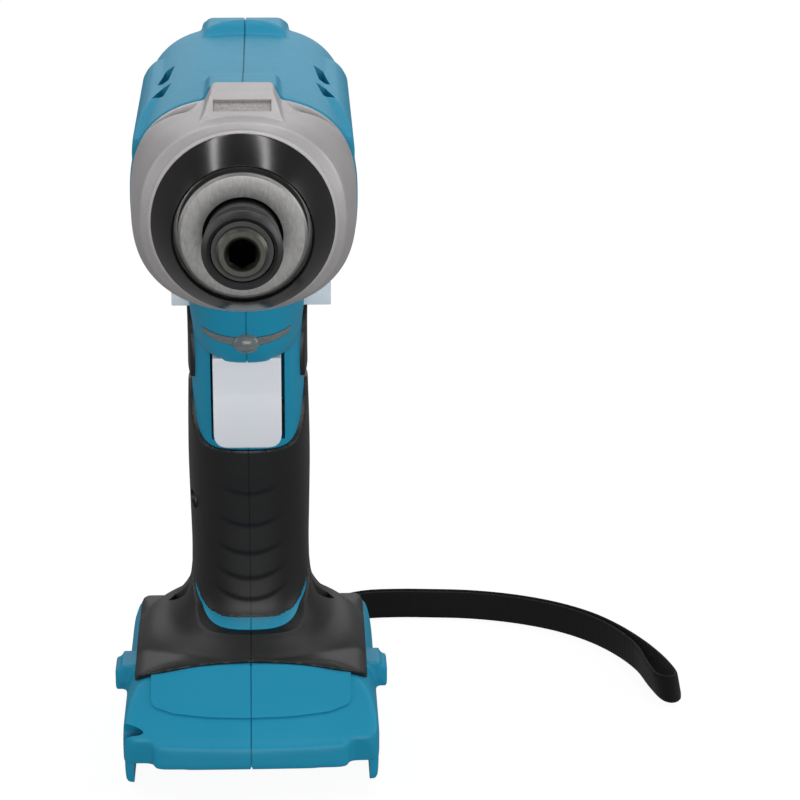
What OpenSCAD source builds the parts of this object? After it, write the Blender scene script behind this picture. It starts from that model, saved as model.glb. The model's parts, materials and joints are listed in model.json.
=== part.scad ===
// Cordless impact driver without its battery: two-shell body with moulded-on rubber, hammer case,
// impact drive, brushless motor, switch and wrist strap. The nose points along -Y, the base
// stands on Z = 0 and the shells meet on X = 0.

/* [Overall] */
// Length from the anvil's tip to the back of the body, which draws out the lengths along the axis
overall_l = 140; // [139:1:146]
// Height of the spindle's axis above the base
axis_h = 175; // [173:1:180]
// Clear gap between pieces that do not touch
gap = 0.3; // [0.25:0.05:0.35]
// Radial clearance of turning and sliding fits
fit = 0.05; // [0.03:0.01:0.08]

/* [Nose] */
// Diameter of the anvil's nose
anvil_d = 13; // [12.6:0.1:13.2]
// Across flats of the bit socket
hex_af = 6.5; // [6.4:0.05:6.6]
// Depth of the bit socket
hex_depth = 26; // [22:1:28]
// How far the anvil's nose stands in front of the hammer case
nose_out = 15; // [14:0.5:16]
// How far the anvil's tip stands in front of the sleeve
tip_out = 1.5; // [1:0.1:2]
// Diameter of the sleeve's front rim
sleeve_d = 20.2; // [19.6:0.1:21]
// Travel of the sleeve
sleeve_travel = 3.5; // [3:0.1:3.6]
// Diameter of a lock ball
ball_d = 3.97; // [3.9:0.01:4]

/* [Hammer case] */
// Diameter of the hammer case
case_d = 59.4; // [58.6:0.2:60]
// Length of the bare hammer case in front of the body
case_l = 34.5; // [33:0.5:36]
// Diameter of the hammer case's front face
nose_d = 33; // [31:0.5:34]
// Largest diameter of the nose bumper
bumper_d = 46.8; // [46:0.2:48]
// Diameter of the hammer case's back end inside the body
spigot_d = 52; // [51:0.5:52.5]
// Height of the hammer case's top boss above the axis
boss_h = 31; // [30.5:0.5:33]
// Half width of the boss on its top
boss_hw = 7.5; // [6.5:0.5:8.5]

/* [Drive] */
// Module of the planetary gears
gear_module = 0.75; // [0.72:0.01:0.76]
// Teeth of the sun pinion
sun_teeth = 9; // [9:2:9]
// Teeth of a planet gear
planet_teeth = 21; // [21:2:21]
// Face width of a planet gear
planet_w = 7; // [6:0.5:7.5]
// Diameter of a planet pin
pin_d = 4.4; // [4:0.1:5]
// Diameter of the hammer
hammer_d = 41; // [40:0.5:42]
// Length of the hammer
hammer_l = 20; // [19:0.5:21]
// Length of the hammer's dogs, which is also its stroke
dog_l = 7; // [6:0.5:7]
// Thickness of the anvil's wings
wing_t = 8; // [7.5:0.5:9]
// Diameter of the spindle
spindle_d = 18; // [17:0.5:18.5]
// Wire of the hammer spring
hammer_wire = 2.5; // [2.2:0.1:2.6]
// Curls of the hammer spring
hammer_curls = 5; // [4:1:5]

/* [Motor] */
// Outer diameter of the stator
stator_d = 48; // [47:0.5:48.5]
// Length of the stator's core
stator_l = 16; // [15:0.5:16.5]
// Diameter of the rotor
rotor_d = 24; // [23:0.5:24.5]
// Diameter of the motor shaft
shaft_d = 5; // [4.8:0.1:5.2]
// Diameter of the fan
fan_d = 40; // [38:0.5:42]
// Blades of the fan
fan_blades = 11; // [9:1:13]

/* [Body] */
// Width of the motor housing
body_w = 58.2; // [57.6:0.2:60]
// Height of the motor housing
body_h = 57; // [56.5:0.5:58.5]
// Height of the back ridge above the motor housing
ridge_h = 3.2; // [2.4:0.2:5]
// Half width of the back ridge on its top
ridge_hw = 10.5; // [9:0.5:12]
// Width of the grip
grip_w = 32; // [31:0.2:34]
// Thickness of the rubber
rubber_t = 1.1; // [0.8:0.1:1.4]

/* [Trigger] */
// Width of the trigger
trigger_w = 19.2; // [18:0.2:20]
// Height of the trigger
trigger_h = 28.5; // [27:0.5:29]
// Travel of the trigger
trigger_travel = 7; // [6:0.5:7]
// Travel of the direction lever
lever_travel = 3.8; // [3:0.2:4]
// Length of the direction lever across the body
lever_l = 45; // [44:0.2:46]

/* [Foot] */
// Width of the foot
foot_w = 72.2; // [71.4:0.2:74]
// How far a side lug stands out of the foot
lug_out = 2.9; // [2.4:0.1:3.4]
// Length of the foot
foot_l = 80; // [78:0.5:82]
// Height of the foot where the grip meets it
foot_h = 35.5; // [34.5:0.5:36.5]
// Height of the battery bay
bay_h = 10.4; // [9.8:0.2:11]
// Height of the rails that carry the battery
rail_h = 4.2; // [3.6:0.2:5]
// Thread diameter of the hook screws
hook_thread = 4; // [3:0.5:4]

/* [Strap] */
// Width of the strap's webbing
strap_w = 8.6; // [8:0.2:9]
// Thickness of the strap's webbing
strap_t = 1.2; // [1:0.1:1.4]
// Diameter of the pin that the strap goes round
strap_pin_d = 3; // [2.6:0.2:3.4]

/* [Hidden] */
$fn = 48;

// Lengths along the axis that the other pieces and the steps between them take up
nose_run = 21;
carrier_t = 3;
bearing_w = 4;
fan_run = 10;
back_wall = 6.5;
steps_run = 15.5;
drawn_l = nose_out + nose_run + wing_t + hammer_l + dog_l + carrier_t + planet_w + carrier_t
  + bearing_w + fan_run + stator_l + bearing_w + back_wall + steps_run;

// Stations along the axis, from the nose to the back, before they are drawn out to overall_l
y_tip = -drawn_l / 2;
y_rear = drawn_l / 2;
y_face = y_tip + nose_out;
y_body = y_face + case_l;
y_bush = y_face + 4.1;
y_wing = y_face + nose_run;
y_wing_end = y_wing + wing_t;
y_hammer = y_wing_end + 0.4;
y_hammer_end = y_hammer + hammer_l;
y_carrier = y_hammer_end + dog_l + 0.6;
y_planet = y_carrier + carrier_t + 0.4;
y_cheek = y_planet + planet_w + 0.4;
y_boss = y_cheek + carrier_t;
y_box = y_cheek + 1.25;
y_carrier_end = y_boss + 5;
y_front_bearing = y_boss + 6.2;
y_fan = y_front_bearing + bearing_w + 1;
y_core = y_fan + fan_run;
y_board = y_core + stator_l + 3.4;
y_rear_bearing = y_board + 2.6;
y_shaft_end = y_rear_bearing + bearing_w + 0.5;

// Radii about the axis
anvil_r = anvil_d / 2;
journal_r = anvil_r + 1.5;
bush_r = journal_r + 2.5;
sleeve_r = sleeve_d / 2;
sleeve_back_r = sleeve_r - 0.9;
sleeve_in_r = sleeve_r - 1.7;
nose_r = nose_d / 2;
case_r = case_d / 2;
spigot_r = spigot_d / 2;
hammer_r = hammer_d / 2;
spindle_r = spindle_d / 2;
wing_r = hammer_r - 0.5;
case_in_r = hammer_r + 1.8;
pitch_sun = gear_module * sun_teeth / 2;
pitch_planet = gear_module * planet_teeth / 2;
ring_teeth = sun_teeth + 2 * planet_teeth;
pitch_ring = gear_module * ring_teeth / 2;
planet_at = pitch_sun + pitch_planet;
sun_tip_r = pitch_sun + 0.8 * gear_module;
ring_r = pitch_ring + 4.4;
carrier_boss_r = 6;
carrier_bearing_r = 12;
stator_r = stator_d / 2;
motor_bore_r = stator_r + 0.1;
shaft_r = shaft_d / 2;
motor_bearing_r = shaft_r + 4.4;
body_hw = body_w / 2;
body_r = body_h / 2;

// Bit lock: the sleeve's cone lets the balls move out a quarter of its travel
ball_r = ball_d / 2;
ball_in = hex_af / 2 - 0.65;
ball_at = ball_in + ball_r;
ball_top = ball_at + ball_r;
lock_bore_r = ball_top + 0.12;
cone_slope = 0.25;
y_sleeve = y_tip + tip_out;
y_sleeve_end = y_face + 2;
y_lock = y_sleeve + 8.7;
y_ring = y_sleeve + 0.9;
y_ring_end = y_ring + 0.8;
y_shoulder = y_lock - 1.4;

// Hammer spring
spring_r = spindle_r + 5.5;
cup_in_r = spindle_r + 2.6;
cup_out_r = hammer_r - 2.9;
y_cup = y_hammer + 9;
y_cam = y_hammer + 11.6;
cam_ball_r = 2.4;

// Heights of grip and trigger
z_led = axis_h - 42;
z_trigger_top = axis_h - 48;
z_trigger = z_trigger_top - trigger_h;
z_lever = axis_h - 37.6;
lever_h = 6.2;
lever_y = 3;
lever_d = 10;
lever_rest = 1.6;
trigger_front = -11;
trigger_back = 1;
grip_hw = grip_w / 2;
switch_front = trigger_back + trigger_travel + 1;
switch_back = switch_front + 24;
switch_hw = 9.5;
z_switch = axis_h - 77;
z_switch_top = axis_h - 53;
stem_r = 3;

// Foot
foot_hw = foot_w / 2;
foot_front = -27.5;
foot_back = foot_front + foot_l;
rail_front = -14.5;
bay_hw = foot_hw - 2.6;
rail_hw = foot_hw - 6.6;
leg_hw = foot_hw - 2.6;
z_floor = bay_h + 3;
pocket_top = z_floor + 12;
lug_y = 6;
lug_z = 25.2;
lug_l = 9.5;
lug_h = 6.8;
hook_r = hook_thread / 2 - 0.35;
nut_r = hook_thread / 2 + 0.7;
nut_l = 7;

// Shell screws: place in Y and Z, and the depth of the head below the left side
screw_at = [[along(y_rear - 8), axis_h + 17], [along(y_rear - 8), axis_h - 17],
  [along(40.5), axis_h - body_r], [14, 76], [38.5, 52], [foot_front + 8, 18.2],
  [foot_back - 5, 25], [33, axis_h - 47]];
screw_head_x = 6.5;
screw_r = 1.4;
screw_head_r = 2.7;
screw_l = 16;

// Strap route on its middle line, chosen by hand, with Y from the strap's pin
strap_pin_at = [24, foot_back - 4.5];
strap_points = [[24, 0.6, 10.5], [23.6, 5, 10.2], [22.4, 14, 8.8], [21, 24, 6.8], [21, 34, 5.2],
  [26, 42, 4.6], [35, 46.5, 4.4], [46, 47.5, 4.4], [57, 47, 4.4], [68, 46, 4.4], [79, 43.5, 4.4],
  [89.5, 39.5, 4.4], [99, 34, 4.4], [107.5, 26.5, 4.4], [114.5, 17, 4.4], [120, 6, 4.4],
  [123.5, -5, 4.4], [126, -14, 4.4]];
strap_route = [for (p = strap_points) [p[0], p[1] + strap_pin_at[1], p[2]]];
strap_open = [0, 0.1, 0.3, 0.1, 0, 0, 0, 0, 0, 0, 0, 0, 0.1, 0.4, 1, 1.8, 2.3, 1.8];
strap_lean = [0, 0, 0, 0, 0, 0, 0, 0, 0, 0, 0, 0, 0, 0, 2, 5, 9, 12];
strap_gap = 0.6;
strap_slot = [4, 17.5];

// Draws a station or a length along the axis out to the overall length
function along(y) = y * overall_l / drawn_l;
// Point of a superellipse
function round_to(v, n) = sign(v) * pow(abs(v), 2 / n);
// Half ring round X >= 0 in a level plane, from its front to its back
function level_ring(s, o = 0, steps = 20) = [for (i = [0:steps])
  let (t = -90 + 180 * i / steps, mid = (s[2] + s[3]) / 2, half = (s[3] - s[2]) / 2)
  [i == 0 || i == steps ? 0 : (s[1] + o) * round_to(cos(t), s[4]),
   mid + (half + o) * round_to(sin(t), s[4]), s[0]]];
// Half ring round X >= 0 in an upright plane, from its top to its bottom
function upright_ring(s, steps = 20) = [for (i = [0:steps])
  let (t = 90 - 180 * i / steps)
  [i == 0 || i == steps ? 0 : s[1] * round_to(cos(t), s[4]), along(s[0]),
   axis_h + (t > 0 ? s[2] : s[3]) * round_to(sin(t), s[4])]];
// Curve through two ends, drawn towards a middle point
function bow(a, b, c, n = 6) = [for (i = [0:n])
  let (t = i / n) (1 - t) * (1 - t) * a + 2 * t * (1 - t) * b + t * t * c];

// Level sections of the grip: height, half width, front, back, squareness
grip_sections = [
  [foot_h - 4, foot_hw - 3.3, -10, foot_back - 2, 3],
  [foot_h - 2, grip_hw + 12, -5, foot_back - 4, 2.8],
  [foot_h + 1, grip_hw + 6.4, 0.6, foot_back - 6.5, 2.6],
  [foot_h + 5.5, grip_hw + 2.6, 4.4, foot_back - 8.5, 2.5],
  [foot_h + 12, grip_hw + 0.5, 6.2, 42.6, 2.4],
  [foot_h + 22, grip_hw - 0.2, 6.4, 41.6, 2.4],
  [foot_h + 37, grip_hw, 5, 40.6, 2.4],
  [foot_h + 52, grip_hw + 0.2, 2.4, 39, 2.4],
  [z_trigger + 3, grip_hw, 0.2, 37.2, 2.5],
  [z_trigger + 14, grip_hw - 0.3, -1.6, 35.2, 2.6],
  [z_trigger_top + 2, grip_hw - 0.4, -3, 35.4, 2.6],
  [z_led + 4, grip_hw - 0.2, -3, 36, 2.6]];
// Level sections of the neck
neck_sections = [
  [z_trigger_top + 0.4, grip_hw - 2.9, -12.5, 35, 2.5],
  [z_trigger_top + 3, grip_hw - 1.4, -14.8, 35.6, 2.5],
  [z_led + 3, grip_hw - 0.3, -16.4, 38, 2.5],
  [axis_h - 31, grip_hw + 0.9, along(y_body + 2.5), along(y_rear - 28), 2.5],
  [axis_h - 25, grip_hw + 3.9, along(y_body + 1.9), along(y_rear - 23), 2.5],
  [axis_h - 19, body_r - 3.9, along(y_body + 1.3), along(y_rear - 18), 2.6],
  [axis_h - 13, body_r - 1, along(y_body + 0.9), along(y_rear - 14), 2.8],
  [axis_h - 4, body_r - 0.2, along(y_body + 0.9), along(y_rear - 13), 3]];
// Upright sections of the motor housing: station, half width, rise, drop, squareness
head_sections = [
  [y_body, case_r, body_r - 1.5, case_r - 2.4, 2.65],
  [y_body + 4, case_r, body_r - 1.3, case_r - 2.2, 2.65],
  [y_body + 18, body_hw + 0.2, body_r - 0.8, body_r - 0.8, 2.7],
  [y_body + 40, body_hw, body_r - 0.3, body_r - 0.2, 2.75],
  [y_body + 66, body_hw, body_r, body_r, 2.8],
  [y_rear - 13, body_hw - 0.9, body_r - 0.9, body_r - 0.9, 2.8],
  [y_rear - 6.5, body_hw - 3.6, body_r - 3.6, body_r - 3.6, 2.7],
  [y_rear - 2, body_hw - 8.5, body_r - 8.5, body_r - 8.5, 2.6],
  [y_rear, body_hw - 14, body_r - 14, body_r - 14, 2.4]];
// Upright sections of the bare hammer case
case_sections = [
  [y_face + 11.6, bumper_d / 2 + 0.7, bumper_d / 2 + 0.8, bumper_d / 2 + 0.1, 2],
  [y_face + 13.6, case_r - 3.4, case_r - 4.1, case_r - 5.3, 2.25],
  [y_face + 18, case_r - 2.3, case_r - 3.8, case_r - 4.5, 2.45],
  [y_face + 22.5, case_r - 1.3, case_r - 3.5, case_r - 3.7, 2.55],
  [y_face + 28, case_r - 0.5, case_r - 3, case_r - 3, 2.65],
  [y_body - 0.1, case_r - 0.3, case_r - 2.8, case_r - 2.7, 2.65]];

// Closes a stack of equal rings into one solid
module loft(rings) {
  m = len(rings[0]);
  last = len(rings) - 1;
  polyhedron(points = [for (r = rings) each r],
    faces = concat(
      [[for (i = [0:m - 1]) i]],
      [[for (i = [m - 1:-1:0]) last * m + i]],
      [for (k = [0:last - 1], i = [0:m - 1])
        each let (a = k * m + i, b = k * m + (i + 1) % m, c = a + m, d = b + m)
        [[a, c, b], [b, c, d]]]));
}

// Draws its children as one faceted skin
module skin() {
  resize([0, 0, 0]) children();
}

module on_axis(y) {
  translate([0, along(y), axis_h]) rotate([-90, 0, 0]) children();
}

// Turned about the axis from points of radius and station
module turned(points) {
  on_axis(0) rotate_extrude() polygon([for (p = points) [p[0], along(p[1])]]);
}

module bore(r, y0, y1) {
  on_axis(y0) cylinder(r = r, h = along(y1 - y0));
}

// Ring between two radii and two stations
module tube(r0, r1, y0, y1) {
  turned([[r0, y0], [r1, y0], [r1, y1], [r0, y1]]);
}

module span(x0, x1, y0, y1, z0, z1) {
  translate([x0, y0, z0]) cube([x1 - x0, y1 - y0, z1 - z0]);
}

// Outline in Y and Z, carried along X
module side_prism(points, x0, x1) {
  translate([x0, 0, 0]) rotate([90, 0, 90]) linear_extrude(x1 - x0) polygon(points);
}

// Outline of stations and heights above the axis, carried along X
module axis_prism(points, x0, x1) {
  side_prism([for (p = points) [along(p[0]), axis_h + p[1]]], x0, x1);
}

// Outline in X and Z, carried along Y
module front_prism(points, y0, y1) {
  translate([0, y1, 0]) rotate([90, 0, 0]) linear_extrude(y1 - y0) polygon(points);
}

module across(x0, x1, r, y, z) {
  translate([x0, y, z]) rotate([0, 90, 0]) cylinder(r = r, h = x1 - x0);
}

// Sector of a ring about the axis
module sector(r0, r1, y0, y1, mid, half) {
  intersection() {
    tube(r0, r1, y0, y1);
    on_axis(y0 - 1) rotate([0, 0, mid]) linear_extrude(along(y1 - y0 + 2)) polygon([[0, 0],
      [2 * r1 * cos(half), -2 * r1 * sin(half)], [3 * r1, 0],
      [2 * r1 * cos(half), 2 * r1 * sin(half)]]);
  }
}

// Half of the grip, grown by o
module grip_half(o = 0) {
  loft([for (s = grip_sections) level_ring(s, o)]);
}

module neck_half(o = 0) {
  loft([for (s = neck_sections) level_ring(s, o)]);
}

module head_half() {
  loft([for (s = head_sections) upright_ring(s)]);
  intersection() {
    front_prism([[0, axis_h + 20], [ridge_hw + 5.5, axis_h + 20],
      [ridge_hw + 3.8, axis_h + body_r - 0.9], [ridge_hw - 0.4, axis_h + body_r + ridge_h - 1.6],
      [ridge_hw - 2, axis_h + body_r + ridge_h - 0.5], [0, axis_h + body_r + ridge_h]],
      along(38), along(y_rear));
    axis_prism([[40, 20], [y_rear - 3, 20], [y_rear - 3, 24], [y_rear - 7, body_r + ridge_h - 4],
      [y_rear - 13, body_r + ridge_h - 1.4], [48, body_r + ridge_h], [46, body_r + ridge_h - 1],
      [42.5, body_r - 1]], 0, 20);
  }
  intersection() {
    front_prism([[0, axis_h + 20], [boss_hw + 6, axis_h + 20],
      [boss_hw + 1.2, axis_h + boss_h - 1.5], [boss_hw + 0.2, axis_h + boss_h - 0.9],
      [0, axis_h + boss_h - 0.9]], along(y_body), along(y_body + 22));
    axis_prism([[y_body, 20], [y_body + 21, 20], [y_body + 20, 26], [y_body + 13, boss_h - 0.9],
      [y_body, boss_h - 0.9]], 0, 20);
  }
  intersection() {
    front_prism([for (p = [[-8.5, 4], [-0.5, 4], [-0.1, 12], [-0.6, 16.6], [-2.1, 19.5],
      [-4.1, 21.7], [-6.4, 22.5], [-8.5, 21.6]]) [body_hw + p[0], axis_h + p[1]]],
      along(y_body), along(44));
    axis_prism([[y_body, 0], [44, 0], [44, 14], [40, 24], [2, 24], [y_body, 16]], 0, 40);
  }
}

// Half of the foot, its top lifted by o
module foot_half(o = 0) {
  intersection() {
    side_prism([[rail_front, 0], [foot_back - 1.5, 0], [foot_back, 2], [foot_back, 21],
      [foot_back - 1.5, 26 + o], [foot_back - 6, foot_h - 6 + o], [24, foot_h - 2 + o],
      [8, foot_h - 1 + o], [-8, foot_h - 2.6 + o], [foot_front + 2.9, 18.7 + o],
      [foot_front + 0.3, 17.4 + o], [foot_front, 16.6 + o], [foot_front, bay_h],
      [rail_front - 1, bay_h - 1], [rail_front - 0.6, 1.6]], -1, foot_hw + 5);
    front_prism([[0, -1], [foot_hw - 0.5, -1], [foot_hw, 4], [foot_hw, 18],
      [foot_hw - 0.7, 24 + o], [foot_hw - 2.2, 28 + o], [foot_hw - 5, 30.8 + o],
      [foot_hw - 11, 32.6 + o], [0, foot_h + o]], -60, 90);
    translate([0, 0, -1]) linear_extrude(foot_h + 4) polygon([[0, foot_front],
      [foot_hw - 20, foot_front + 0.4], [foot_hw - 12, foot_front + 1.1],
      [foot_hw - 7.5, foot_front + 2.4], [foot_hw - 2.4, foot_front + 5],
      [foot_hw, foot_front + 9], [foot_hw, foot_back - 8], [foot_hw - 2, foot_back - 3],
      [foot_hw - 6, foot_back - 0.6], [foot_hw - 12, foot_back], [0, foot_back]]);
  }
}

// Hollow in a lower corner of the foot's front, beside its lip
module corner_hollow() {
  intersection() {
    side_prism([[-60, -5], [foot_front + 5.5, -5], [foot_front + 5.5, 10],
      [foot_front + 3.9, 15.5], [foot_front + 3.2, 18], [foot_front + 3, 19.4], [-60, 60]], 0, 60);
    translate([0, 0, -6]) linear_extrude(70) polygon([[60, -60], [60, 0],
      [foot_hw - 5.1, 0], [foot_hw - 5.1, foot_front + 6.8], [foot_hw - 7.3, foot_front + 5.6],
      [foot_hw - 8.5, foot_front + 3.8], [foot_hw - 8.9, foot_front + 1], [foot_hw - 8.9, -60]]);
  }
}

module lug_half() {
  translate([foot_hw - 4, lug_y, lug_z]) rotate([0, 90, 0]) linear_extrude(4 + lug_out)
    polygon([[-lug_h / 2 + 1.5, -lug_l / 2], [lug_h / 2 - 1.5, -lug_l / 2],
      [lug_h / 2, -lug_l / 2 + 1.5], [lug_h / 2, lug_l / 2 - 1.5],
      [lug_h / 2 - 1.5, lug_l / 2], [-lug_h / 2 + 1.5, lug_l / 2],
      [-lug_h / 2, lug_l / 2 - 1.5], [-lug_h / 2, -lug_l / 2 + 1.5]]);
}

// Slots that let the cooling air in and out
module vents() {
  for (k = [0:2]) {
    translate([0, along(y_fan - 10 + 6.5 * k), axis_h + body_r - 2]) rotate([-18, 0, 0])
      span(motor_bore_r - 8.5, body_r + 4, -1.4, 1.4, -13, -3.5);
  }
  for (k = [0:3]) {
    span(motor_bore_r - 5, body_r + 3, along(y_board - 6.2), along(y_board + 1.6),
      axis_h - 12.2 + 6.5 * k, axis_h - 8.8 + 6.5 * k);
  }
}

// Bores and pockets that the inner pieces sit in, for the right-hand half
module hollow() {
  bore(spigot_r + fit, y_body - 1, y_box + 4);
  bore(motor_bore_r, y_box + 3.9, y_core + stator_l + 0.2);
  bore(motor_bore_r - 1.5, y_core + stator_l + 0.1, y_board + 2);
  bore(motor_bearing_r + fit, y_board + 1.9, y_rear_bearing + 4.1);
  bore(shaft_r + 1, y_rear_bearing + 4, y_shaft_end + 0.5);
  vents();
  span(-1, trigger_w / 2 + gap, -40, switch_front - 0.2, z_trigger - gap, z_trigger_top + gap);
  span(-1, switch_hw + 0.2, switch_front - 0.2, switch_back + 0.2, z_switch - 0.2,
    z_switch_top + 0.2);
  span(-1, 8, switch_front + 3, switch_back - 1, z_switch_top, z_lever - 4.4);
  span(-1, 6, lever_y + 1, lever_y + 13, z_switch_top + 0.2, z_lever + 2);
  span(-1, 60, lever_y - gap, lever_y + lever_d + gap, z_lever - gap, z_lever + lever_h + gap);
  span(-1, 9, 19, 34, z_floor + 8, z_switch);
  span(-1, 10, 14, along(30.5), z_switch_top, axis_h - spigot_r + 2);
  span(-1, 12, along(y_fan + 2), along(y_fan + 10), axis_h - body_r - 5, axis_h - 15);
  span(-1, foot_hw - 8.5, -7, foot_back - 10.5, z_floor, pocket_top);
  span(-1, bay_hw, foot_front - 5, foot_back - 8, rail_h, bay_h);
  span(-1, rail_hw, foot_front - 5, foot_back - 8, -1, rail_h + 1);
  span(-1, leg_hw, foot_front - 5, 2, -1, rail_h + 1);
  span(-1, foot_hw + 5, foot_front - 5, rail_front - 4, -1, 7.5);
  corner_hollow();
  span(-1, 13, foot_back - 22.5, foot_back - 11, bay_h - 1, z_floor + 1);
  span(-1, 13 + gap / 3, -30, -11.2, z_led - 2.8 - gap / 3, z_led + 2.8 + gap / 3);
  span(-1, 6 + gap / 3, -12, -9.7, z_led - 2.6 - gap / 3, z_led + 2.6 + gap / 3);
}

module half_body() {
  difference() {
    union() {
      head_half();
      neck_half();
      grip_half();
      foot_half();
      lug_half();
    }
    hollow();
    across(foot_hw + lug_out - nut_l, foot_hw + 10, nut_r + fit, lug_y, lug_z);
  }
}

module housing_left() {
  color("DodgerBlue") difference() {
    mirror([1, 0, 0]) half_body();
    for (s = screw_at) {
      across(-60, -screw_head_x, screw_head_r + 0.3, s[0], s[1]);
      across(-screw_head_x - 1, 1, screw_r + 0.15, s[0], s[1]);
    }
  }
}

module housing_right() {
  color("DodgerBlue") difference() {
    half_body();
    for (s = screw_at) {
      across(-1, screw_l - screw_head_x + 0.6, screw_r + 0.05, s[0], s[1]);
    }
    span(strap_pin_at[0] - 6.5, strap_pin_at[0] + 6.5, strap_pin_at[1] - 3.4, 90,
      strap_slot[0], strap_slot[1]);
    translate([strap_pin_at[0], strap_pin_at[1], strap_slot[0] - 2])
      cylinder(r = strap_pin_d / 2 + fit, h = strap_slot[1] - strap_slot[0] + 4.5);
  }
}

// Regions of the rubber in Y and Z
web_region = concat(
  bow([7.4, z_trigger + 16.9], [5.6, z_trigger + 23.5], [8, z_lever - 9.4]),
  bow([8.4, z_lever - 8.8], [10, z_lever - 4.4], [14, z_lever - 1.4]),
  [[60, z_lever - 1.4], [60, z_trigger + 19.9], [17, z_trigger + 18.5]],
  bow([16.6, z_trigger + 18.5], [10, z_trigger + 18], [7.6, z_trigger + 16.5]));
grip_region = concat([[-30, foot_h + 7.5]],
  bow([4.6, foot_h + 7.5], [8.5, foot_h + 8.9], [12, foot_h + 11.3]),
  bow([12.4, foot_h + 11.7], [17, foot_h + 14.1], [24.3, foot_h + 18.5]),
  bow([24.6, foot_h + 18.7], [34, foot_h + 28.3], [60, foot_h + 36]),
  [[60, z_trigger + 14.9], [17, z_trigger + 13.5]],
  bow([16.4, z_trigger + 13.5], [11.5, z_trigger + 13], [9.4, z_trigger + 7.5]),
  bow([9.2, z_trigger + 6.9], [7, z_trigger - 2.1], [2.6, z_trigger - 2.7]),
  [[-30, z_trigger - 2.9]]);
collar_region = concat([[-20, 10], [60, 10]],
  bow([60, foot_h + 34.4], [35, foot_h + 27], [25, foot_h + 16.6]),
  bow([24.6, foot_h + 16.3], [20, foot_h + 13.1], [12, foot_h + 9.7]),
  bow([11.6, foot_h + 9.5], [6.5, foot_h + 4.5], [2.4, foot_h + 3.7]), [[-20, foot_h + 3.1]]);

module half_rubber(region) {
  intersection() {
    difference() {
      union() {
        grip_half(rubber_t);
        foot_half(rubber_t);
        neck_half(rubber_t);
      }
      grip_half(0.04);
      foot_half(0.04);
      neck_half(0.04);
      span(-1, 60, lever_y - 1, lever_y + lever_d + 1, z_lever - 1, z_lever + lever_h + 1);
      span(-1, trigger_w / 2 + 1, -40, switch_front - 0.2, z_trigger - gap, z_trigger_top + 1);
    }
    side_prism(region, 0, 60);
  }
}

module web_pad() {
  skin() intersection() {
    half_rubber(web_region);
    span(grip_hw - 4, 60, -20, 28, 0, 200);
  }
}

module grip_pad() {
  skin() half_rubber(grip_region);
}

module foot_collar() {
  skin() intersection() {
    half_rubber(collar_region);
    translate([0, 0, foot_h - 8]) linear_extrude(60) polygon(concat(
      [[0, -6.8], [9, -7.4], [18, -8.6], [25, -9.8]],
      bow([foot_hw - 5.6, -10.3], [foot_hw - 3.3, -10.2], [foot_hw - 3.1, -7.6]),
      bow([foot_hw - 2.9, foot_back - 10], [foot_hw - 3.6, foot_back - 3.5],
        [foot_hw - 12, foot_back - 3]), [[0, foot_back - 3]]));
  }
}

module web_pad_left() { color("DimGray") mirror([1, 0, 0]) web_pad(); }
module web_pad_right() { color("DimGray") web_pad(); }
module grip_pad_right() { color("DimGray") grip_pad(); }
module foot_collar_right() { color("DimGray") foot_collar(); }

// The left pads leave the screw recesses open
module grip_pad_left() {
  color("DimGray") difference() {
    mirror([1, 0, 0]) grip_pad();
    across(-60, -screw_head_x, screw_head_r + 0.3, screw_at[3][0], screw_at[3][1]);
    across(-60, -screw_head_x, screw_head_r + 0.3, screw_at[4][0], screw_at[4][1]);
  }
}

module foot_collar_left() {
  color("DimGray") difference() {
    mirror([1, 0, 0]) foot_collar();
    across(-60, -screw_head_x, screw_head_r + 0.3, screw_at[4][0], screw_at[4][1]);
  }
}

module case_half() {
  loft([for (s = case_sections) upright_ring(s)]);
}

module hammer_case() {
  color("Silver") difference() {
    union() {
      turned([[0, y_face], [nose_r - 0.6, y_face], [nose_r, y_face + 0.6],
        [nose_r, y_face + 5], [nose_r + 0.6, y_face + 5.2], [bumper_d / 2 - 1, y_face + 11.4],
        [bumper_d / 2 - 0.4, y_face + 11.6], [bumper_d / 2, y_face + 13],
        [spigot_r, y_body - 3], [spigot_r, y_box - 0.05], [0, y_box - 0.05]]);
      case_half();
      mirror([1, 0, 0]) case_half();
      intersection() {
        front_prism([[-boss_hw - 6.4, axis_h + 18], [boss_hw + 6.4, axis_h + 18],
          [boss_hw + 0.4, axis_h + boss_h - 0.6], [boss_hw - 0.4, axis_h + boss_h],
          [-boss_hw + 0.4, axis_h + boss_h], [-boss_hw - 0.4, axis_h + boss_h - 0.6]],
          along(y_face + 10), along(y_body - 0.1));
        axis_prism([[y_face + 12, 15], [y_body - 0.1, 15], [y_body - 0.1, boss_h],
          [y_face + 27, boss_h - 0.6], [y_face + 18.5, boss_h - 5.2], [y_face + 13.5, 21.5]],
          -40, 40);
      }
    }
    translate([0, along(y_face + 22.2), axis_h + boss_h - 3.2]) rotate([28.4, 0, 0])
      span(-7.4, 7.4, -2, 2, -0.4, 6);
    bore(sleeve_r + 0.5, y_face - 1, y_face + 2.8);
    bore(journal_r + 0.6, y_face, y_bush + 1);
    bore(bush_r, y_bush - 0.1, y_wing);
    bore(case_in_r, y_wing - 0.9, y_carrier + 1);
    bore(ring_r + fit, y_carrier + 0.5, y_box + 1);
  }
}

module nose_bumper() {
  color("Black") turned([[nose_r + 0.9, y_face + 1.4], [nose_r + 1.5, y_face + 0.9],
    [bumper_d / 2 - 0.3, y_face + 10.5], [bumper_d / 2, y_face + 11], [bumper_d / 2, y_face + 11.4],
    [bumper_d / 2 - 0.8, y_face + 11.4], [nose_r + 0.9, y_face + 5.3]]);
}

module anvil_bush() {
  color("Peru") tube(journal_r + fit, bush_r - 0.02, y_bush, y_wing - 0.9);
}

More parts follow.
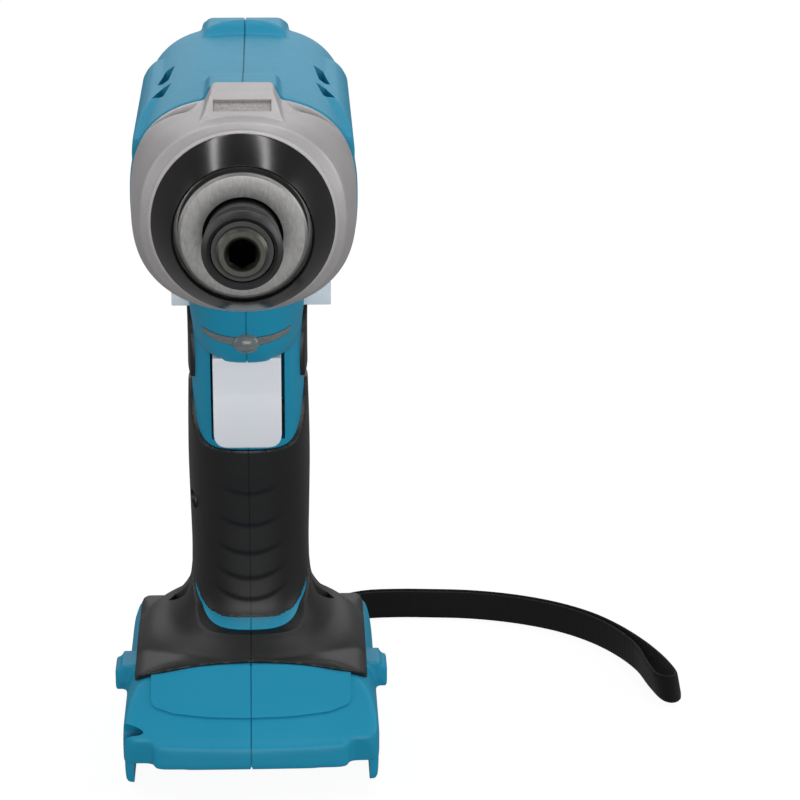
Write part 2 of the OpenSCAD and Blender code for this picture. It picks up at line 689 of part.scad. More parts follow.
module anvil_washer() {
  color("Ivory") tube(journal_r + 0.2, bush_r + 4, y_wing - 0.8, y_wing - 0.05);
}

module anvil() {
  color("Gray") difference() {
    union() {
      turned([[0, y_tip], [anvil_r - 0.8, y_tip], [anvil_r, y_tip + 0.8],
        [anvil_r, y_face + 2.8], [journal_r, y_face + 2.8], [journal_r, y_wing],
        [journal_r + 2, y_wing], [journal_r + 2, y_wing_end], [0, y_wing_end]]);
      sector(journal_r + 1, wing_r, y_wing, y_wing_end, 0, 28);
      sector(journal_r + 1, wing_r, y_wing, y_wing_end, 180, 28);
    }
    on_axis(y_tip - 1) rotate([0, 0, 30])
      cylinder(d = hex_af / cos(30), h = hex_depth + 1, $fn = 6);
    turned([[0, y_tip - 1], [hex_af / 2 + 1.7, y_tip - 1], [hex_af / 2, y_tip + 0.7],
      [0, y_tip + 0.7]]);
    bore(4 + fit, y_wing_end - 6, y_wing_end + 1);
    across(-anvil_r - 1, anvil_r + 1, ball_r + 0.04, along(y_lock), axis_h);
  }
}

module lock_ball_a() {
  color("LightGray") translate([ball_at, along(y_lock), axis_h]) sphere(r = ball_r);
}

module lock_ball_b() {
  color("LightGray") translate([-ball_at, along(y_lock), axis_h]) sphere(r = ball_r);
}

module bit_sleeve() {
  color("DarkSlateGray") turned([[sleeve_in_r + 0.4, y_sleeve],
    [sleeve_r, y_sleeve + 1.3], [sleeve_r, y_sleeve + 2], [sleeve_r - 0.2, y_sleeve + 4],
    [sleeve_r - 0.5, y_sleeve + 4.3], [sleeve_r - 0.5, y_sleeve + 4.9],
    [sleeve_r - 0.3, y_sleeve + 5.2], [sleeve_back_r, y_sleeve_end - 3],
    [sleeve_back_r, y_sleeve_end - 0.3], [sleeve_back_r - 0.3, y_sleeve_end],
    [sleeve_in_r, y_sleeve_end],
    [sleeve_in_r, y_lock + 4.4], [lock_bore_r + cone_slope * 4.4, y_lock + 4.4],
    [lock_bore_r, y_lock], [lock_bore_r, y_shoulder], [sleeve_in_r - 0.4, y_shoulder],
    [sleeve_in_r - 0.4, y_sleeve + 0.6]]);
}

module sleeve_ring() {
  color("Gray") tube(anvil_r, sleeve_in_r - 0.4 - gap, y_ring, y_ring_end);
}

// Points of a coil about the axis between two stations
function coil(r, y0, y1, turns) = [for (i = [0:8 * turns])
  let (t = 45 * i) [r * cos(t), along(y0 + (y1 - y0) * i / (8 * turns)), axis_h + r * sin(t)]];

// Least gap of a coil to itself, on its points a curl apart
function least_gap(p, d) = min([for (i = [0:len(p) - 9], k = [7, 8, 9])
  if (i + k < len(p)) norm(p[i + k] - p[i])]) - d;

function unit(v) = v / norm(v);

// Tube of six sides along points, its two ends closed
module wire(p, d) {
  last = len(p) - 1;
  loft([for (i = [0:last])
    let (ahead = unit(p[min(i + 1, last)] - p[max(i - 1, 0)]),
      side = unit(cross(ahead, abs(ahead[1]) < 0.9 ? [0, 1, 0] : [1, 0, 0])),
      up = cross(side, ahead))
    [for (a = [300:-60:0]) p[i] + d / 2 * (cos(a) * side + sin(a) * up)]]);
}

hammer_coil = coil(spring_r, y_cup + hammer_wire / 2 + 0.1,
  y_carrier - 1.2 - hammer_wire / 2, hammer_curls);
sleeve_wire = 0.8;
sleeve_coil = coil(anvil_r + 0.95, y_ring_end + 0.5, y_shoulder - 0.5, 3);
trigger_wire = 0.9;
z_stem = z_trigger + 15;
trigger_coil = [for (i = [0:8 * 5]) let (t = 45 * i)
  [5 * cos(t), trigger_back + 0.6 + (trigger_travel - 0.2) * i / 40, z_stem + 5 * sin(t)]];
echo(least_gap_hammer_spring = least_gap(hammer_coil, hammer_wire));
echo(least_gap_sleeve_spring = least_gap(sleeve_coil, sleeve_wire));
echo(least_gap_trigger_spring = least_gap(trigger_coil, trigger_wire));

module sleeve_spring() {
  color("Silver") wire(sleeve_coil, sleeve_wire);
}

module hammer_spring() {
  color("SteelBlue") wire(hammer_coil, hammer_wire);
}

module trigger_spring() {
  color("Silver") wire(trigger_coil, trigger_wire);
}

module spring_washer() {
  color("Gray") tube(spindle_r + 0.2, cup_out_r - 0.6, y_carrier - 1.1, y_carrier - 0.1);
}

module hammer() {
  color("DimGray") difference() {
    union() {
      turned([[spindle_r + fit, y_hammer], [hammer_r - 0.6, y_hammer], [hammer_r, y_hammer + 0.6],
        [hammer_r, y_hammer_end - 0.6], [hammer_r - 0.6, y_hammer_end], [cup_out_r, y_hammer_end],
        [cup_out_r, y_cup], [cup_in_r, y_cup], [cup_in_r, y_hammer + 17.6],
        [spindle_r + fit, y_hammer + 17.6]]);
      sector(journal_r + 2.8, wing_r, y_hammer - dog_l, y_hammer + 0.5, 90, 27);
      sector(journal_r + 2.8, wing_r, y_hammer - dog_l, y_hammer + 0.5, 270, 27);
    }
    for (a = [-1, 1]) {
      translate([0, along(y_cam - dog_l - 3.5), axis_h + a * spindle_r]) rotate([-90, 0, 0])
        cylinder(r = cam_ball_r + 0.1, h = along(dog_l + 6.2));
    }
  }
}

module cam_balls() {
  color("LightGray") for (a = [-1, 1]) {
    translate([0, along(y_cam), axis_h + a * spindle_r]) sphere(r = cam_ball_r);
  }
}

module spindle() {
  color("Gray") difference() {
    union() {
      turned([[0, y_wing_end - 5.6], [3.4, y_wing_end - 5.6], [4, y_wing_end - 5],
        [4, y_wing_end + 0.4], [spindle_r - 0.5, y_wing_end + 0.4],
        [spindle_r, y_wing_end + 0.9], [spindle_r, y_carrier], [planet_at + 5.2, y_carrier],
        [planet_at + 5.2, y_carrier + 3], [0, y_carrier + 3]]);
      tube(sun_tip_r + 0.7, planet_at + 3.6, y_cheek, y_boss);
      tube(sun_tip_r + 0.7, carrier_boss_r, y_boss - 1, y_carrier_end);
      for (a = [-1, 1]) {
        span(-4.5, 4.5, along(y_carrier + 2), along(y_cheek + 1), axis_h + (a > 0 ? 7.6 : -13.4),
          axis_h + (a > 0 ? 13.4 : -7.6));
      }
    }
    bore(sun_tip_r + 0.7, y_carrier + 1.6, y_carrier + 4);
    for (a = [-1, 1]) {
      translate([a * planet_at, along(y_carrier + 0.5), axis_h]) rotate([-90, 0, 0])
        cylinder(r = pin_d / 2 + 0.02, h = 30);
      translate([0, along(y_cam), axis_h + a * spindle_r]) sphere(r = cam_ball_r + 0.05);
    }
  }
}

module planet_pins() {
  color("LightGray") for (a = [-1, 1]) {
    translate([a * planet_at, along(y_carrier + 0.6), axis_h]) rotate([-90, 0, 0])
      cylinder(r = pin_d / 2, h = along(y_boss - y_carrier - 0.9));
  }
}

// Involute angle of a flank at radius r
function flank(rb, r) = r <= rb ? 0 : tan(acos(rb / r)) * 180 / PI - acos(rb / r);
// Outline of a gear with a tooth on +X; slack narrows its teeth at the pitch line
function gear_outline(teeth, tip, root, slack) =
  let (rp = gear_module * teeth / 2, rb = rp * cos(25), base = 90 / teeth + flank(rb, rp)
      - slack / 2 / rp * 180 / PI, r0 = rp - root * gear_module, r1 = rp + tip * gear_module)
  [for (k = [0:teeth - 1]) each let (mid = 360 * k / teeth) concat(
    [for (i = [0:4]) let (r = r0 + (r1 - r0) * i / 4, a = mid - base + flank(rb, r))
      [r * cos(a), r * sin(a)]],
    [for (i = [4:-1:0]) let (r = r0 + (r1 - r0) * i / 4, a = mid + base - flank(rb, r))
      [r * cos(a), r * sin(a)]])];

module planet_gear(x) {
  translate([x, along(y_planet), axis_h]) rotate([-90, 0, 0]) linear_extrude(along(planet_w)) difference() {
    polygon(gear_outline(planet_teeth, 0.8, 1.05, 0.12));
    circle(r = pin_d / 2 + fit);
  }
}

module planet_gear_a() { color("Gold") planet_gear(planet_at); }
module planet_gear_b() { color("Gold") planet_gear(-planet_at); }

module ring_gear() {
  color("DarkGray") on_axis(y_carrier + 0.7) linear_extrude(along(y_box - y_carrier - 0.85)) difference() {
    circle(r = ring_r);
    polygon(gear_outline(ring_teeth, 1.05, 0.8, -0.12));
  }
}

module sun_pinion() {
  color("Gold") on_axis(y_planet + 0.1) linear_extrude(along(y_boss - y_planet - 0.6)) difference() {
    polygon(gear_outline(sun_teeth, 0.8, 1.05, 0.12));
    circle(r = 1.4);
  }
}

module case_seal() {
  color("Black") turned([[ring_r + 0.6, y_box + 0.3], [ring_r + 1.5, y_box + 0.3],
    [ring_r + 1.5, y_box + 1.1], [ring_r + 0.6, y_box + 1.1]]);
}

module bearing_box() {
  color("LightSteelBlue") difference() {
    turned([[planet_at + 4.2, y_box], [spigot_r - 0.1, y_box], [spigot_r - 0.1, y_box + 3.9],
      [planet_at + 6, y_box + 3.9], [carrier_bearing_r + 2, y_boss + 5.6],
      [motor_bearing_r + 2, y_boss + 5.6], [motor_bearing_r + 2, y_front_bearing + 4.1],
      [motor_bearing_r + 0.03, y_front_bearing + 4.1], [motor_bearing_r + 0.03, y_front_bearing - 0.02],
      [shaft_r + 2, y_front_bearing - 0.02], [shaft_r + 2, y_boss + 5.3],
      [carrier_bearing_r + 0.02, y_boss + 5.3], [carrier_bearing_r + 0.02, y_boss + 0.25],
      [planet_at + 4.2, y_boss + 0.25]]);
    tube(ring_r + 0.5, ring_r + 1.6, y_box - 1, y_box + 1.15);
  }
}

// Ball bearing: two rings, a cage of balls drawn as separate solids
module ball_bearing(r0, r1, y0, w) {
  mid = (r0 + r1) / 2;
  rb = (r1 - r0) * 0.26;
  difference() {
    union() {
      tube(r0, mid - rb * 0.55, y0, y0 + w);
      tube(mid + rb * 0.55, r1, y0, y0 + w);
    }
    on_axis(0) rotate_extrude() translate([mid, along(y0 + w / 2)]) circle(r = rb + 0.05);
  }
  for (a = [0:45:315]) {
    on_axis(y0 + w / 2) rotate([0, 0, a]) translate([mid, 0, 0]) sphere(r = rb);
  }
}

module carrier_bearing() {
  color("LightGray") ball_bearing(carrier_boss_r + fit, carrier_bearing_r, y_boss + 0.3, 4.9);
}

module front_motor_bearing() {
  color("LightGray") ball_bearing(shaft_r + fit, motor_bearing_r, y_front_bearing, bearing_w);
}

module rear_motor_bearing() {
  color("LightGray") ball_bearing(shaft_r + fit, motor_bearing_r, y_rear_bearing, bearing_w);
}

module rotor_shaft() {
  color("Silver") turned([[0, y_planet + 0.1], [1.36, y_planet + 0.1], [1.36, y_boss - 0.4],
    [shaft_r, y_boss - 0.4], [shaft_r, y_shaft_end - 0.4], [shaft_r - 0.4, y_shaft_end],
    [0, y_shaft_end]]);
}

module rotor_core() {
  color("DarkGray") tube(shaft_r + 0.01, rotor_d / 2, y_core + 0.4, y_core + stator_l - 0.4);
}

module fan() {
  color("Black") union() {
    tube(shaft_r + 0.01, 6, y_fan, y_fan + 6);
    tube(5.5, fan_d / 2, y_fan + 4.6, y_fan + 6);
    for (k = [0:fan_blades - 1]) {
      on_axis(y_fan + 0.4) rotate([0, 0, 360 * k / fan_blades]) linear_extrude(along(4.6))
        polygon([[5, -0.5], [12, 0.6], [fan_d / 2 - 0.5, 3], [fan_d / 2 - 0.5, 4],
          [12, 1.6], [5, 0.5]]);
    }
  }
}

module stator_core() {
  color("Gray") on_axis(y_core) linear_extrude(along(stator_l)) difference() {
    union() {
      difference() {
        circle(r = stator_r);
        circle(r = stator_r - 3.4);
      }
      for (a = [0:60:300]) {
        rotate(a) translate([rotor_d / 2 + 0.2, -3]) square([stator_r - rotor_d / 2 - 1, 6]);
        rotate(a) translate([rotor_d / 2 - 0.6, -4.9]) square([2.2, 9.8]);
      }
    }
    circle(r = rotor_d / 2 + 0.6);
  }
}

module stator_coils() {
  color("Chocolate") for (a = [0:60:300]) {
    on_axis(0) rotate([0, 0, a]) difference() {
      translate([rotor_d / 2 + 1.9, -5, along(y_core - 3)]) cube([stator_r - rotor_d / 2 - 6.5,
        10, along(stator_l + 6)]);
      translate([0, -3.1, along(y_core - 0.1)]) cube([40, 6.2, along(stator_l + 0.2)]);
    }
  }
}

module sensor_board() {
  color("Green") difference() {
    tube(motor_bearing_r + 1.2, stator_r - 3, y_board, y_board + 1.2);
    span(-30, 30, along(y_board - 1), along(y_board + 3), axis_h - 40, axis_h - 18.6);
  }
}

module switch_body() {
  color("Black") difference() {
    union() {
      span(-switch_hw, switch_hw, switch_front, switch_back, z_switch, z_switch_top);
      span(-6, 6, switch_front + 4, switch_back - 2, z_switch_top - 1, z_switch_top + 3.6);
    }
    translate([0, switch_front - 1, z_stem]) rotate([-90, 0, 0])
      cylinder(r = stem_r + 0.06, h = trigger_travel + 9.5);
    span(-2 - lever_travel, 6.2, lever_y + 6.5, lever_y + 11, z_switch_top + 1, z_switch_top + 8);
  }
}

module trigger() {
  color("WhiteSmoke") union() {
    intersection() {
      front_prism(concat(
        bow([-trigger_w / 2 + 4.5, z_trigger], [-trigger_w / 2, z_trigger],
          [-trigger_w / 2, z_trigger + 4.5], 5),
        [[-trigger_w / 2, z_trigger_top]], [[trigger_w / 2, z_trigger_top]],
        bow([trigger_w / 2, z_trigger + 4.5], [trigger_w / 2, z_trigger],
          [trigger_w / 2 - 4.5, z_trigger], 5)), -30, 20);
      side_prism(concat(bow([trigger_front + 3.4, z_trigger], [trigger_front + 0.4, z_trigger + 9],
        [trigger_front + 0.8, z_trigger + 18], 6), [[trigger_front, z_trigger_top],
        [trigger_back, z_trigger_top], [trigger_back, z_trigger]]), -20, 20);
    }
    translate([0, trigger_back - 1, z_stem]) rotate([-90, 0, 0]) cylinder(r = stem_r, h = 9 + 0.6);
  }
}

module direction_lever() {
  color("AliceBlue") union() {
    span(lever_rest - lever_l / 2, lever_rest + lever_l / 2, lever_y, lever_y + lever_d, z_lever,
      z_lever + lever_h);
    span(lever_rest - 2, lever_rest + 2, lever_y + 7, lever_y + 9.6, z_switch_top + 1.4, z_lever + 1);
  }
}

module controller() {
  color("DimGray") span(-foot_hw + 9, foot_hw - 9, -6.6, foot_back - 23.9, z_floor + 0.1,
    z_floor + 9.6);
}

module terminal_block() {
  color("Black") union() {
    span(-12.6, 12.6, foot_back - 22.3, foot_back - 11.3, bay_h - 1, z_floor + 0.4);
    span(-15, 15, foot_back - 26.5, foot_back - 8.7, bay_h - 9, bay_h - 0.1);
  }
}

module terminal_blades() {
  color("Gold") for (x = [-9, 9]) {
    span(x - 0.5, x + 0.5, foot_back - 42.5, foot_back - 26.55, bay_h - 7.5, bay_h - 2);
  }
}

module led_board() {
  color("Green") union() {
    span(-6, 6, -11.1, -9.8, z_led - 2.6, z_led + 2.6);
    translate([0, -11, z_led]) rotate([90, 0, 0]) cylinder(r = 1.5, h = 1.2);
  }
}

module led_lens() {
  color("LightCyan") skin() difference() {
    union() {
      intersection() {
        union() {
          neck_half();
          mirror([1, 0, 0]) neck_half();
        }
        span(-13, 13, -30, -11.3, z_led - 2.8, z_led + 2.8);
      }
      translate([0, -15.4, z_led]) scale([1.25, 0.6, 1]) sphere(r = 2.7, $fn = 32);
    }
    span(-10.6, 10.6, -13.4, 0, z_led - 1.9, z_led + 1.9);
  }
}

// Three leads as tubes along round points
module leads(paths, d) {
  for (p = paths) {
    wire(p, d);
  }
}

module motor_leads() {
  color("Red") leads([for (k = [-1, 0, 1]) [[3 * k, along(y_core - 1.6), axis_h - stator_r + 3],
    [3 * k, along(y_core - 2.4), axis_h - stator_r - 2], [3 * k, along(y_core - 6), axis_h - 31],
    [3 * k, along(27.5), axis_h - 36], [3 * k, along(26.8), axis_h - 42],
    [3 * k, 26.5, z_switch_top + 3.8]]], 1.8);
}

module battery_leads() {
  color("Red") leads([for (k = [-1, 1]) [[4 * k, 24, z_switch - 0.4], [4 * k, 24, z_switch - 12],
    [4 * k, 26, 70], [4 * k, 27, 50], [4 * k, 28.5, z_floor + 10.8],
    [4 * k, max(30, foot_back - 21.5), z_floor + 10.8],
    [4 * k, foot_back - 18.5, z_floor + 1.5]]], 2);
}

module shell_screws() {
  color("DimGray") for (s = screw_at) {
    difference() {
      union() {
        across(-screw_head_x - 2.2, -screw_head_x, screw_head_r, s[0], s[1]);
        across(-screw_head_x - 0.5, screw_l - screw_head_x, screw_r, s[0], s[1]);
      }
      across(-screw_head_x - 3, -screw_head_x - 1, 1.1, s[0], s[1]);
    }
  }
}

module hook_nuts() {
  color("Gold") for (a = [-1, 1]) {
    difference() {
      across(a > 0 ? foot_hw + lug_out - nut_l + 0.1 : -foot_hw - lug_out + 0.1,
        a > 0 ? foot_hw + lug_out - 0.1 : -foot_hw - lug_out + nut_l - 0.1, nut_r, lug_y, lug_z);
      across(a > 0 ? foot_hw - nut_l - 4 : -foot_hw - 10, a > 0 ? foot_hw + 10 : -foot_hw + nut_l + 4,
        hook_r, lug_y, lug_z);
    }
  }
}

module strap_pin() {
  color("Silver") translate([strap_pin_at[0], strap_pin_at[1], strap_slot[0] - 1.9])
    cylinder(r = strap_pin_d / 2, h = strap_slot[1] - strap_slot[0] + 4.3);
}

// The strap goes out on one side of its route, turns, and comes back on the other side
function route_side(i) = let (n = len(strap_route) - 1,
  d = strap_route[min(i + 1, n)] - strap_route[max(i - 1, 0)]) unit([d[1], -d[0], 0]);
pin_turn_r = strap_pin_d / 2 + 0.35 + strap_t / 2;
function strap_half(i) = i == 0 ? pin_turn_r : strap_gap / 2 + strap_t / 2 + strap_open[i];
strap_n = len(strap_route) - 1;
strap_end = strap_route[strap_n] + 3.2 * unit(strap_route[strap_n] - strap_route[strap_n - 1]);
strap_line = concat(
  [for (i = [0:strap_n]) [strap_route[i] + strap_half(i) * route_side(i), route_side(i),
    strap_lean[i]]],
  [[strap_end, unit(strap_route[strap_n] - strap_route[strap_n - 1]), 0]],
  [for (i = [strap_n:-1:0]) [strap_route[i] - strap_half(i) * route_side(i), -route_side(i),
    -strap_lean[i]]],
  [for (a = [180:45:360]) [[strap_pin_at[0] + pin_turn_r * cos(a),
    strap_pin_at[1] + pin_turn_r * sin(a), strap_route[0][2]], [cos(a), sin(a), 0], 0]]);

module wrist_strap() {
  n = len(strap_line);
  points = [for (s = strap_line) let (up = [sin(s[2]) * s[1][0], sin(s[2]) * s[1][1], cos(s[2])])
    each [for (c = [[1, 1], [-1, 1], [-1, -1], [1, -1]])
      s[0] + c[0] * strap_t / 2 * s[1] + c[1] * strap_w / 2 * up]];
  color("Black") polyhedron(points = points, faces = [for (k = [0:n - 1], i = [0:3])
    each let (a = 4 * k + i, b = 4 * k + (i + 1) % 4, c = 4 * ((k + 1) % n) + i,
      d = 4 * ((k + 1) % n) + (i + 1) % 4) [[a, b, c], [b, d, c]]]);
}

housing_left();
housing_right();
web_pad_left();
web_pad_right();
grip_pad_left();
grip_pad_right();
foot_collar_left();
foot_collar_right();
hammer_case();
nose_bumper();
anvil_bush();
anvil_washer();
anvil();
bit_sleeve();
sleeve_spring();
sleeve_ring();
lock_ball_a();
lock_ball_b();
hammer();
hammer_spring();
spring_washer();
cam_balls();
spindle();
planet_gear_a();
planet_gear_b();
planet_pins();
ring_gear();
case_seal();
bearing_box();
carrier_bearing();
rotor_shaft();
sun_pinion();
rotor_core();
fan();
front_motor_bearing();
rear_motor_bearing();
stator_core();
stator_coils();
sensor_board();
switch_body();
trigger();
trigger_spring();
direction_lever();
controller();
terminal_block();
terminal_blades();
led_board();
led_lens();
motor_leads();
battery_leads();
shell_screws();
hook_nuts();
strap_pin();
wrist_strap();
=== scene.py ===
# Cordless impact driver without its battery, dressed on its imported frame.
# The nose points along -Y, the tool stands on Z = 0 and its two shells meet on X = 0.
import json
import math

import bmesh
import bpy
from mathutils import Matrix, Vector


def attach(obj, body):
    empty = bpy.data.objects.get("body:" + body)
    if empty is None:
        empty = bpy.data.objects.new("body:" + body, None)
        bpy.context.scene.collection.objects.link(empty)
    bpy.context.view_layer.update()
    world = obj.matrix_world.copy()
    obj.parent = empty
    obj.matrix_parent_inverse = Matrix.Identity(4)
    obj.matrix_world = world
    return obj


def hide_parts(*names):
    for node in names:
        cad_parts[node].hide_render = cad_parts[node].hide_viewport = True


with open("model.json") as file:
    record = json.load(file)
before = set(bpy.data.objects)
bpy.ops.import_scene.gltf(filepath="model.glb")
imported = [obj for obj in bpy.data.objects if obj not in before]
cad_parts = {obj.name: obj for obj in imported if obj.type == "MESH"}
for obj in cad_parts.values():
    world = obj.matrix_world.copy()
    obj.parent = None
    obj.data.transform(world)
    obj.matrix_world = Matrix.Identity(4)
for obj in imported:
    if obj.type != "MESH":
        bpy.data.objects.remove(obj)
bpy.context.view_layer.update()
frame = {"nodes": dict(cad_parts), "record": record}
scene = bpy.context.scene


# Studio: the camera stands in front of the nose and above it, as the photographer's did.
# A plain white floor, two long soft lamps overhead and wide ones all round light the tool.
photo_side = 800
focal_pixels = 2765
camera_at = Vector((0.00899, -0.71584, 0.3784))
yaw = math.radians(2.645)
pitch = math.radians(20.5)
roll = math.radians(0.402)

ahead = Vector((math.sin(yaw) * math.cos(pitch), math.cos(yaw) * math.cos(pitch), -math.sin(pitch)))
level_right = Vector((math.cos(yaw), -math.sin(yaw), 0))
level_up = level_right.cross(ahead)
picture_right = level_right * math.cos(roll) + level_up * math.sin(roll)
picture_up = level_up * math.cos(roll) - level_right * math.sin(roll)

camera_data = bpy.data.cameras.new("camera")
camera_data.sensor_width = 36
camera_data.lens = camera_data.sensor_width * focal_pixels / photo_side
camera_data.clip_start = 0.01
camera = bpy.data.objects.new("camera", camera_data)
camera.matrix_world = Matrix.Translation(camera_at) @ Matrix(
    (picture_right, picture_up, -ahead)).transposed().to_4x4()
scene.collection.objects.link(camera)
scene.camera = camera
scene.view_settings.view_transform = "Standard"


def soft_lamp(name, at, aim, width, depth, power):
    """A rectangular soft lamp that points at aim."""
    lamp = bpy.data.lights.new(name, "AREA")
    lamp.shape = "RECTANGLE"
    lamp.size = width
    lamp.size_y = depth
    lamp.energy = power
    holder = bpy.data.objects.new(name, lamp)
    holder.location = at
    holder.rotation_euler = (Vector(aim) - Vector(at)).to_track_quat("-Z", "Y").to_euler()
    scene.collection.objects.link(holder)


tool_middle = (0, 0, 0.13)
soft_lamp("lamp_over_left", (-0.46, 0.2, 1.15), tool_middle, 1.0, 0.09, 3.2)
soft_lamp("lamp_over_right", (0.32, 0.2, 1.15), tool_middle, 1.0, 0.09, 3.2)
soft_lamp("lamp_back", (0, 1.3, 0.6), tool_middle, 1.5, 0.6, 4.0)
soft_lamp("lamp_front", (0.1, -1.6, 0.38), tool_middle, 1.3, 0.7, 13.4)
soft_lamp("lamp_left", (-1.3, -0.2, 0.6), tool_middle, 0.5, 0.9, 3.0)
soft_lamp("lamp_right", (1.3, -0.2, 0.6), tool_middle, 0.5, 0.9, 5.5)

world = bpy.data.worlds.new("studio")
world.use_nodes = True
world.node_tree.nodes["Background"].inputs["Color"].default_value = (1, 1, 1, 1)
world.node_tree.nodes["Background"].inputs["Strength"].default_value = 0.25
scene.world = world


class Tone:
    """A socket that changes over a surface; arithmetic on it adds Math nodes."""

    def __init__(self, tree, socket):
        self.tree = tree
        self.socket = socket

    def node(self, kind, settings, inputs, output=0):
        """Adds a node, with its settings first and then the values or links of its sockets."""
        made = self.tree.nodes.new(kind)
        for key, value in settings.items():
            setattr(made, key, value)
        for key, value in inputs.items():
            if isinstance(value, Tone):
                self.tree.links.new(value.socket, made.inputs[key])
            else:
                made.inputs[key].default_value = value
        return Tone(self.tree, made.outputs[output])

    def math(self, operation, first, second=0.0):
        return self.node("ShaderNodeMath", {"operation": operation}, {0: first, 1: second})

    def __add__(self, other):
        return self.math("ADD", self, other)

    def __radd__(self, other):
        return self.math("ADD", other, self)

    def __sub__(self, other):
        return self.math("SUBTRACT", self, other)

    def __rsub__(self, other):
        return self.math("SUBTRACT", other, self)

    def __mul__(self, other):
        return self.math("MULTIPLY", self, other)

    def __rmul__(self, other):
        return self.math("MULTIPLY", other, self)

    def noise(self, scale, detail=2.0, roughness=0.5):
        return self.node("ShaderNodeTexNoise", {}, {"Vector": self, "Scale": scale,
                                                    "Detail": detail, "Roughness": roughness})

    def stretched(self, scale, turn=(0, 0, 0)):
        return self.node("ShaderNodeMapping", {}, {"Vector": self, "Scale": scale,
                                                   "Rotation": turn})

    def between(self, first, second):
        """A colour between two, by this share of the second."""
        return self.node("ShaderNodeMix", {"data_type": "RGBA"},
                         {"Factor": self, 6: first, 7: second}, 2)

    def from_axis(self, height):
        """Distance of this place from a level axis along Y at some height."""
        x, y, z = (self.node("ShaderNodeSeparateXYZ", {}, {"Vector": self}, i) for i in range(3))
        away = z - height
        return self.math("SQRT", x * x + away * away)

    def step(self, low, high):
        """Rises from 0 to 1 between two values."""
        return self.node("ShaderNodeMapRange", {}, {"Value": self, "From Min": low, "From Max": high})

    def bump(self, strength, distance):
        return self.node("ShaderNodeBump", {}, {"Height": self, "Strength": strength,
                                                "Distance": distance})


def colour(red, green, blue):
    """A colour given as it looks on screen, 0 to 255, as the shader takes it."""
    parts = [c / 255 for c in (red, green, blue)]
    return (*[c / 12.92 if c <= 0.04045 else ((c + 0.055) / 1.055) ** 2.4 for c in parts], 1)


def finish(name, **fixed):
    """A material with its fixed shader values, and the place on the piece as a Tone."""
    made = bpy.data.materials.new(name)
    made.use_nodes = True
    shader = made.node_tree.nodes["Principled BSDF"]
    for key, value in fixed.items():
        shader.inputs[key.replace("_", " ").title().replace("Ior", "IOR")].default_value = value
    place = Tone(made.node_tree, made.node_tree.nodes.new("ShaderNodeTexCoord").outputs["Object"])
    return made, place


def dress(material, **varying):
    """Links what varies over the surface to the material's shader."""
    shader = material.node_tree.nodes["Principled BSDF"]
    for key, tone in varying.items():
        socket = shader.inputs[key.replace("_", " ").title()]
        material.node_tree.links.new(tone.socket, socket)
    return material


def pale_floor():
    """A white that hardly takes a shadow."""
    made, place = finish("floor_white", base_color=(0.08, 0.08, 0.08, 1), roughness=0.9,
                         specular_ior_level=0.0, emission_strength=1.0)
    tint = place.noise(3.0).between((0.94, 0.94, 0.94, 1), (0.95, 0.95, 0.95, 1))
    return dress(made, emission_color=tint)


floor_half = 4
floor_drop = 0.0002
floor_shape = bmesh.new()
bmesh.ops.create_grid(floor_shape, x_segments=1, y_segments=1, size=floor_half)
bmesh.ops.translate(floor_shape, verts=floor_shape.verts, vec=(0, 0, -floor_drop))
floor_mesh = bpy.data.meshes.new("floor")
floor_shape.to_mesh(floor_mesh)
floor_shape.free()
floor_mesh.materials.append(pale_floor())
floor = bpy.data.objects.new("floor", floor_mesh)
floor.visible_diffuse = False
floor.visible_glossy = False
scene.collection.objects.link(floor)


# Wrist strap: a flat black webbing, sewn into a loop round a pin at the back of the foot.
# It leaves the foot level, stands on its edge on the floor and opens and leans at its far end.
mm = 0.001
foot_back = 52.5
strap_pin = Vector((24, foot_back - 4.5, 10.5))
strap_pin_radius = 1.5
strap_pin_room = 0.35
strap_width = 8.6
strap_selvage = 0.3
strap_thickness = 1.2
strap_spacing = 1.8
strap_tip = 3
strap_sides = 20
strap_flatness = 0.35
strap_row_length = 2.2
strap_points = [(24, 0.6, 10.5), (23.6, 5, 10.2), (22.4, 14, 8.8), (21, 24, 6.8), (21, 34, 5.2),
                (26, 42, 4.6), (35, 46.5, 4.85), (46, 47.5, 4.85), (57, 47, 4.85), (68, 46, 4.85),
                (79, 43.5, 4.85), (89.5, 39.5, 4.85), (99, 34, 4.85), (107.5, 26.5, 4.85),
                (114.5, 17, 4.85), (120, 6, 4.85), (123.3, -5, 4.85), (125.6, -14, 4.85)]
strap_opening = [0, 0.1, 0.3, 0.1, 0, 0, 0, 0, 0, 0, 0, 0, 0, 0.1, 0.3, 0.9, 2.1, 2.1]
strap_lean = [0, 0, 0, 0, 0, 0, 0, 0, 0, 0, 0, 0, 0, 0, 2, 5, 9, 12]


def eased(rows, parts, close=False):
    """Rows of numbers, with smooth rows put in between."""
    count = len(rows)
    out = []
    for i in range(count if close else count - 1):
        if close:
            a, b, c, d = (rows[(i + k) % count] for k in (-1, 0, 1, 2))
        else:
            a, b, c, d = (rows[min(max(i + k, 0), count - 1)] for k in (-1, 0, 1, 2))
        for k in range(parts):
            t = k / parts
            out.append([0.5 * (2 * q + (r - p) * t + (2 * p - 5 * q + 4 * r - s) * t * t
                               + (3 * q - p - 3 * r + s) * t ** 3)
                        for p, q, r, s in zip(a, b, c, d)])
    if not close:
        out.append(list(rows[-1]))
    return out


def drawn(value, power):
    """A point of a circle drawn outwards, by a power below 1."""
    return math.copysign(abs(value) ** power, value)


def ring(shape, count, place):
    """A loop of vertices, each put where place says for its point on a unit circle."""
    verts = bmesh.ops.create_circle(shape, segments=count, radius=1)["verts"]
    for v in verts:
        v.co = place(v.co.x, v.co.y)
    return list({e for v in verts for e in v.link_edges})


